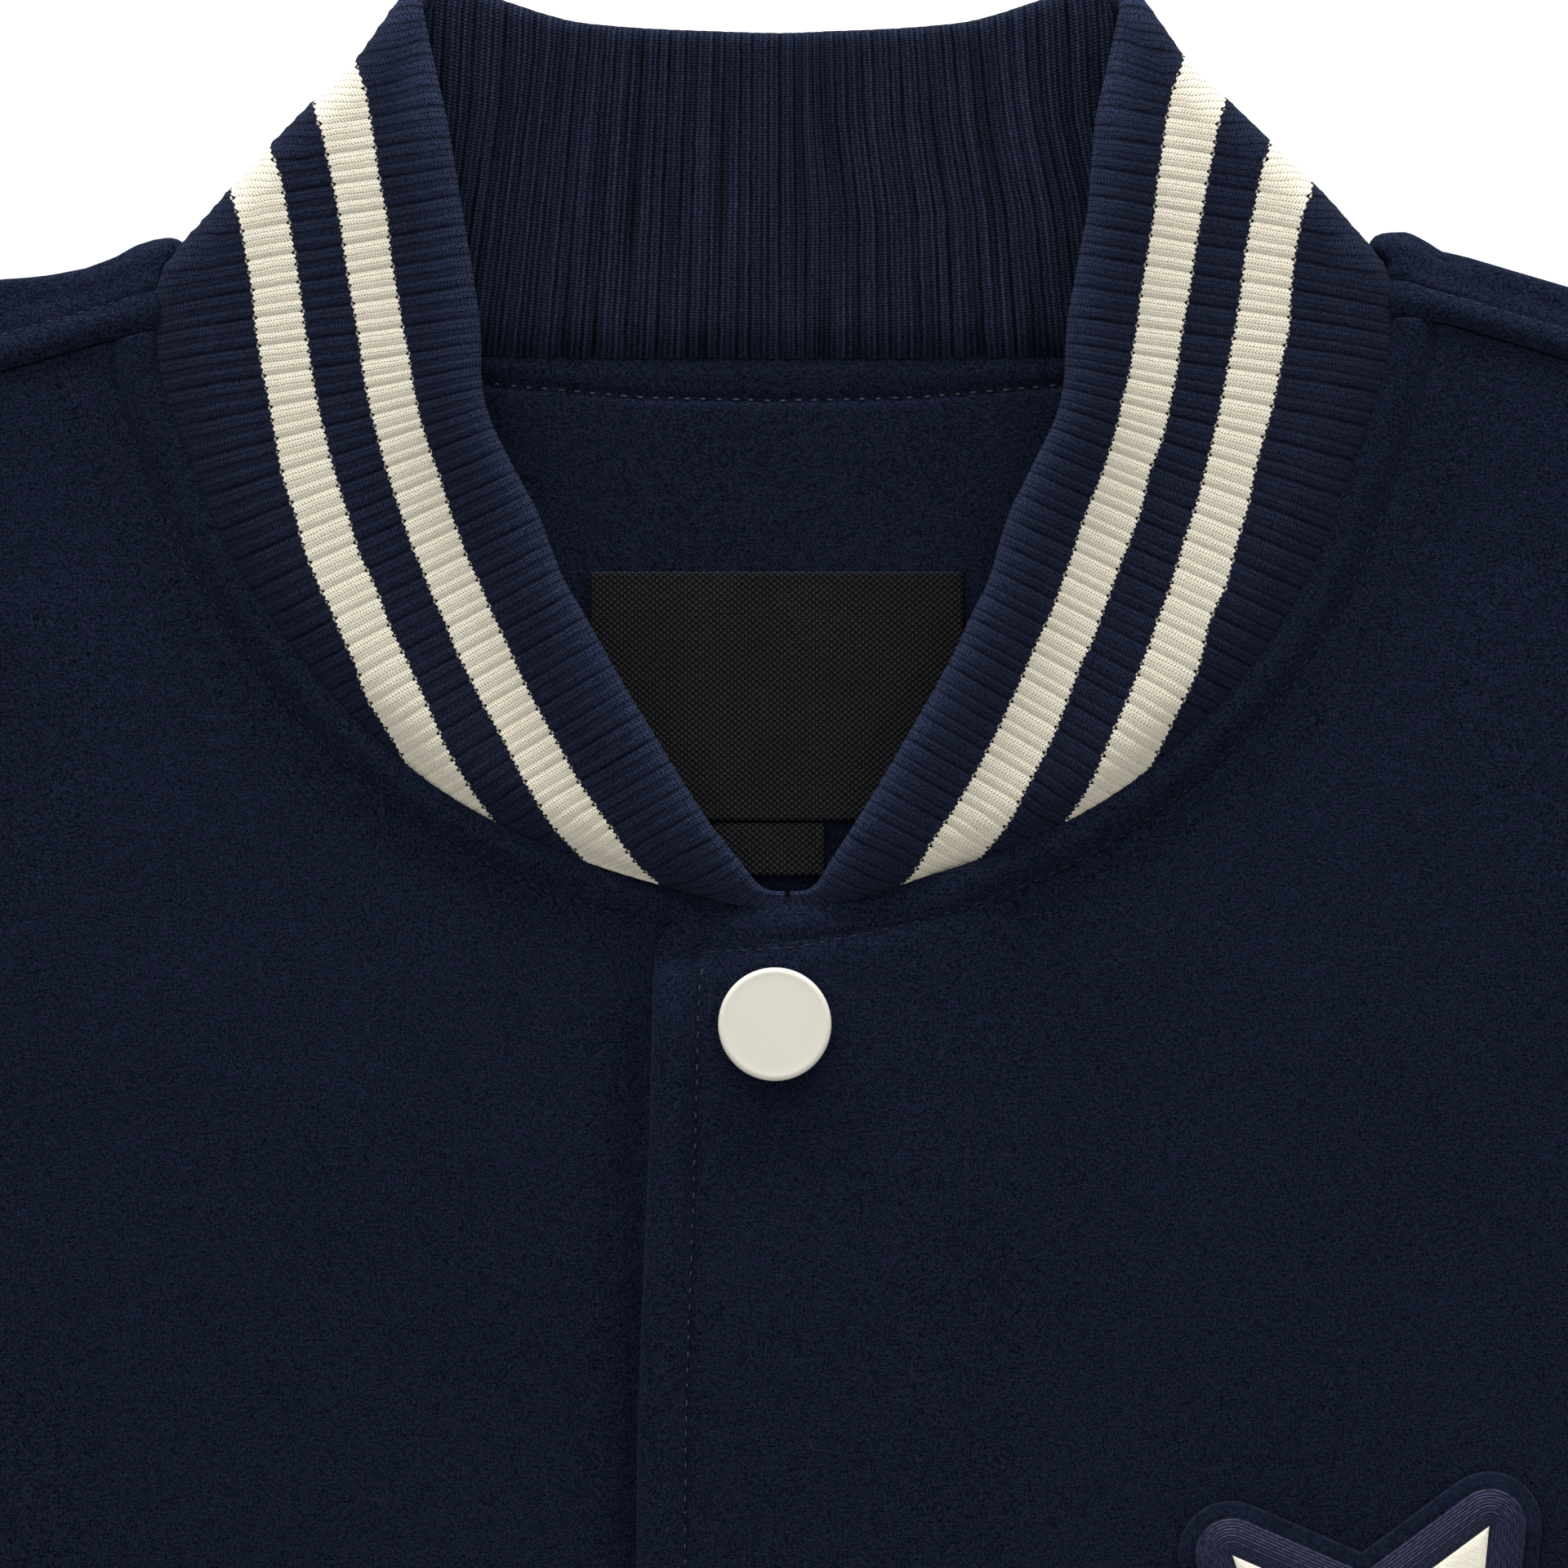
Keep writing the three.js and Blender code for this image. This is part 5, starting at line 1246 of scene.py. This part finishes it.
def star_outline(grow, per_side=24, per_tip=10):
    """The star's outline moved out by grow: round at the tips, with the same number of
    points whatever grow is."""
    tips = star_tips()
    nxt = np.roll(tips, -1, 0)
    d = nxt - tips
    d /= np.linalg.norm(d, axis=1, keepdims=True)
    out = np.stack([d[:, 1], -d[:, 0]], -1)
    before = np.roll(out, 1, 0)
    even = (before + out) / (1 + (before * out).sum(1, keepdims=True))
    corner = []
    for k in range(10):
        if k % 2 or grow <= 0:
            corner.append(np.repeat((tips[k] + even[k] * grow)[None], per_tip + 1, 0))
        else:
            a0 = math.atan2(before[k, 1], before[k, 0])
            a1 = math.atan2(out[k, 1], out[k, 0])
            turn = (a1 - a0) % (2 * math.pi)
            a = a0 + turn * np.linspace(0, 1, per_tip + 1)
            corner.append(tips[k] + grow * np.stack([np.cos(a), np.sin(a)], -1))
    pts = []
    for k in range(10):
        if k % 2:
            pts.append(corner[k][:1])
        else:
            pts.append(corner[k])
        a, b = corner[k][-1], corner[(k + 1) % 10][0]
        f = np.linspace(0, 1, per_side + 2)[1:-1, None]
        pts.append(a + (b - a) * f)
    return np.concatenate(pts)


def lofted(name, rings, closed, material, nodes, centre=None, uvs=None):
    """Rings of points joined in turn. closed joins the last ring to the first; otherwise
    the first and last rings end in their centre points."""
    n = len(rings[0])
    verts = [np.asarray(r, float) for r in rings]
    index = np.arange(len(rings) * n).reshape(len(rings), n)
    loop = np.concatenate([index, index[:1]]) if closed else index
    nx = np.roll(loop, -1, 1)
    quads = np.stack([loop[:-1], nx[:-1], nx[1:], loop[1:]], -1).reshape(-1, 4)
    faces = [quads]
    allv = np.concatenate(verts)
    if not closed:
        allv = np.concatenate([allv, np.asarray(centre, float)])
        for ring, c, flip in ((index[0], len(rings) * n, True), (index[-1], len(rings) * n + 1, False)):
            r2 = np.roll(ring, -1)
            tri = np.stack([r2, ring, np.full(n, c)] if flip else [ring, r2, np.full(n, c)], -1)
            faces.append(tri)
    flat = allv[:, :2] if uvs is None else uvs
    return make_mesh(name, allv, faces, [flat[f] for f in faces], material, nodes)


def patch_slab(name, node, grow, z, t, material, r=0.45):
    rings = []
    for a in (-90, -45, 0, 30, 60, 90):
        g = grow - r * (1 - math.cos(math.radians(a)))
        zz = z + t / 2 + (t / 2) * math.sin(math.radians(a))
        o = star_outline(g if grow > 0 else g)
        rings.append(np.concatenate([o, np.full((len(o), 1), zz)], 1))
    c = np.array([STAR_X, STAR_Y])
    top = rings[-1]
    inner = star_outline(min(grow, 0) - 1.6)
    for f in (1.0, 0.85, 0.6, 0.35, 0.15):
        p = c + (inner - c) * f
        rings.append(np.concatenate([p, np.full((len(p), 1), z + t)], 1))
    low = []
    for f in (0.15, 0.5, 0.85, 1.0):
        p = c + (inner - c) * f
        low.append(np.concatenate([p, np.full((len(p), 1), z)], 1))
    rings = low + rings
    return lofted(name, rings, False, material, [node], centre=[(*c, z), (*c, z + t)])


PATCH_Z = FOLD_Z + FOLD_R + MELTON / 2 + GAP


def patch_base():
    return patch_slab("patch_ground", "patch_base", STAR_BORDER + STAR_MARGIN, PATCH_Z, 1.0, M_BASE)


def patch_star():
    return patch_slab("patch_felt_star", "patch_star", -0.05, PATCH_Z + 1.3, 1.0, M_STAR, r=0.25)


def patch_border():
    z0 = PATCH_Z + 1.3
    rings, run_uv = [], []
    base = star_outline(STAR_BORDER / 2)
    run = np.concatenate([[0], np.cumsum(np.linalg.norm(np.diff(base, axis=0), axis=1))])
    wide = STAR_BORDER
    for q in np.linspace(0, 1, 19):
        g = wide * q
        zz = z0 + 1.2 * (math.sin(math.pi * (0.06 + 0.88 * q)) ** 0.4) + 0.06 * math.cos(2 * math.pi * g / 0.5)
        o = star_outline(g)
        rings.append(np.concatenate([o, np.full((len(o), 1), zz)], 1))
        run_uv.append(np.stack([np.full(len(o), g), run], -1))
    for q in (0.98, 0.5, 0.02):
        o = star_outline(wide * q)
        rings.append(np.concatenate([o, np.full((len(o), 1), z0 - 0.02)], 1))
        run_uv.append(np.stack([np.full(len(o), wide * q), run], -1))
    rings, run_uv = rings[::-1], run_uv[::-1]
    return lofted("patch_embroidery", rings, True, M_BORDER, ["patch_border"], uvs=np.concatenate(run_uv))


# ---------------------------------------------------------------- stitches
def along(points, pitch, length, z_of, start=0.0, stop=None, skew=0.0, seed=1):
    """Ends of stitches of one length along a polyline of (x, y)."""
    rng = np.random.default_rng(seed)
    points = np.asarray(points, float)
    run = np.concatenate([[0], np.cumsum(np.linalg.norm(np.diff(points, axis=0), axis=1))])
    stop = run[-1] if stop is None else stop
    at = np.arange(start, stop - length, pitch)
    at = at + rng.uniform(-0.12, 0.12, len(at))
    ln = length * rng.uniform(0.8, 1.12, len(at))

    def pt(q):
        return np.stack([np.interp(q, run, points[:, 0]), np.interp(q, run, points[:, 1])], -1)

    a, b = pt(at), pt(at + ln)
    side = np.stack([-(b - a)[:, 1], (b - a)[:, 0]], -1)
    side /= np.linalg.norm(side, axis=1, keepdims=True)
    a = a + side * (skew + rng.uniform(-0.06, 0.06, (len(a), 1)))
    b = b - side * (skew + rng.uniform(-0.06, 0.06, (len(a), 1)))
    return np.concatenate([a, z_of(a)[:, None]], 1), np.concatenate([b, z_of(b)[:, None]], 1)


def offset_line(line, d):
    t = np.gradient(line, axis=0)
    t /= np.linalg.norm(t, axis=1, keepdims=True)
    return line + d * np.stack([-t[:, 1], t[:, 0]], -1)


# ---------------------------------------------------------------- build
collar_obj, collar_length = collar()
left = front(1, "front_panel_left", "front_left")
right = front(-1, "front_panel_right", "front_right")
back_obj = back()
sleeves = [sleeve(1, "sleeve_panel_left", "sleeve_left"), sleeve(-1, "sleeve_panel_right", "sleeve_right")]
cuffs = [cuff(1, "cuff_band_left", "cuff_left"), cuff(-1, "cuff_band_right", "cuff_right")]
hem_obj, hem_length = hem()
facing_obj = facing()
ON_FACING = FACING_Z + 0.5 + GAP
label_obj = tag("label_cloth", "neck_label", -0.5, -53.3, 61, 40.7, 0.8, ON_FACING)
tab_obj = tag("size_tab_cloth", "size_tab", -1.7, -53.3 - 40.7 - GAP, 18, 8.7, 0.6, ON_FACING)
snaps = [snap(k) for k in range(1, SNAP_COUNT + 1)]
star_objs = [patch_base(), patch_star(), patch_border()]

# Stitches: pitch and length in millimetres.
def surface(obj):
    """Height, in millimetres, of the highest point of a piece over places (x, y)."""
    mesh = obj.data
    v = np.empty(len(mesh.vertices) * 3, np.float32)
    mesh.vertices.foreach_get("co", v)
    tree = BVHTree.FromPolygons(v.reshape(-1, 3).tolist(), [tuple(p.vertices) for p in mesh.polygons])

    def z_of(p):
        out = []
        for x, y in p:
            hit = tree.ray_cast((x / 1000, (y + ROW_Y) / 1000, 0.1), (0, 0, -1))
            out.append(hit[0][2] * 1000 if hit[0] is not None else 0.0)
        return np.array(out)

    return z_of


z_left, z_right, z_back, z_facing = surface(left), surface(right), surface(back_obj), surface(facing_obj)


def sew(name, line, z_of, material, pitch=2.6, length=1.5, radius=0.2, lift=0.16, **more):
    a, b = along(line, pitch, length, z_of, **more)
    good = (a[:, 2] > 1) & (b[:, 2] > 1)
    strands(name, a[good], b[good], radius, lift, material)


neck = front_lines(9.6)
inside = offset_line(neck, 6.7)
inside = inside[(inside[:, 0] > -13.2) & (inside[:, 0] < 100)]
if inside[0, 1] < inside[-1, 1]:
    inside = inside[::-1]
drifted = inside + np.stack([neck_drift(inside[:, 1], 6.7), seam_drift(inside[:, 0]) * (1 - smooth(0, 34, -13 - inside[:, 1])) * (inside[:, 0] > 90)], -1)
sew("neck_stitches_left", drifted, z_left, M_TONAL, length=1.2, radius=0.15, lift=0.08, seed=3)
sew("neck_stitches_right", (inside[inside[:, 0] > 21]) * np.array([-1, 1]), z_right, M_TONAL, length=1.2, radius=0.15, lift=0.08, seed=4)
lap = [(-12.6, -118.0), (-13.1, -121.5)] + [(-13.3 - 2.6 * float(smooth(-119, -207, y) * smooth(-560, -300, y)) * (1 - float(smooth(0, 26, 7.4))), y) for y in np.arange(-126.0, -697.0, -4.0)]
sew("placket_stitches", np.array(lap), z_left, M_THREAD, length=1.1, radius=0.15, lift=0.06, seed=5)
for side, name in ((1, "left"), (-1, "right")):
    t = np.linspace(0.03, 1, 60)
    x = mix(NECK_HALF, SHOULDER[0] - 3, t)
    line = np.stack([side * x, back_top_y(x) - (SEAM_FORWARD - 5.4) / math.cos(math.atan2(42, 148.3))], -1)
    if side > 0:
        line = line + np.stack([0 * x, seam_drift(x) * 0.45], -1)
    sew("shoulder_stitches_" + name, line, z_back, M_TONAL, length=1.2, radius=0.15, lift=0.06, seed=6 + side)
xs = np.linspace(-80, 80, 120)
sew("facing_stitches", np.stack([xs, back_neck_y(np.abs(xs)) - 5.6], -1), z_facing, M_THREAD, length=1.2, radius=0.17, lift=0.12, seed=8)

# ---------------------------------------------------------------- floor, light, camera
def floor():
    size = 60.0
    mesh = bpy.data.meshes.new("floor")
    mesh.from_pydata([(-size, -size, -0.0004), (size, -size, -0.0004), (size, size, -0.0004), (-size, size, -0.0004)], [], [(0, 1, 2, 3)])
    obj = bpy.data.objects.new("floor", mesh)
    n = Nodes("floor_paint")
    base = n.mixed(n.ramp(n.noise(n.place(), 0.004, 2, 0.5), 0.3, 0.7), (0.93, 0.93, 0.93), (0.9, 0.9, 0.9))
    n.set(Base_Color=base, Roughness=0.8, Specular_IOR_Level=0.1)
    clear = n.node("ShaderNodeBsdfTransparent")
    either = n.node("ShaderNodeMixShader")
    n.put(either.inputs[0], n.node("ShaderNodeNewGeometry").outputs["Backfacing"])
    n.put(either.inputs[1], n.shader.outputs[0])
    n.put(either.inputs[2], clear.outputs[0])
    n.put(n.output.inputs[0], either.outputs[0])
    mesh.materials.append(n.mat)
    bpy.context.scene.collection.objects.link(obj)


floor()

world = bpy.data.worlds.new("studio")
bpy.context.scene.world = world
world.use_nodes = True
world.node_tree.nodes["Background"].inputs[0].default_value = (1, 1, 1, 1)
world.node_tree.nodes["Background"].inputs[1].default_value = 0.9


def area_light(name, at, to, size, watts, colour=(1, 1, 1), high=None):
    data = bpy.data.lights.new(name, "AREA")
    data.shape = "DISK" if high is None else "RECTANGLE"
    data.size = size
    if high is not None:
        data.size_y = high
    data.energy = watts
    data.color = colour
    obj = bpy.data.objects.new(name, data)
    obj.location = at
    obj.rotation_euler = (Vector(to) - Vector(at)).to_track_quat("-Z", "Y").to_euler()
    obj.visible_camera = False
    bpy.context.scene.collection.objects.link(obj)


area_light("key", (-0.5, 1.8, 1.05), (0, 0.22, 0), 0.7, 15.5, (1.0, 1.0, 1.0))
area_light("low", (0, 1.0, 0.15), (0, 0.3, 0), 1.3, 19.0, (1.0, 1.0, 1.0), high=0.1)
area_light("fill", (1.0, -0.9, 1.7), (0, 0.2, 0), 1.2, 3.2, (1.0, 0.97, 0.92))

cam_data = bpy.data.cameras.new("camera")
cam = bpy.data.objects.new("camera", cam_data)
cam_data.type = "PERSP"
cam_data.sensor_width = 36
cam_data.sensor_fit = "HORIZONTAL"
cam_data.lens = 154.7
cam_data.clip_start = 0.01
cam_data.clip_end = 200
cam_data.dof.use_dof = False
cam.location = (0.0007, 0.242, 1.105)
cam.rotation_euler = (0, 0, 0)
bpy.context.scene.collection.objects.link(cam)
bpy.context.scene.camera = cam
bpy.context.scene.view_settings.view_transform = "Standard"
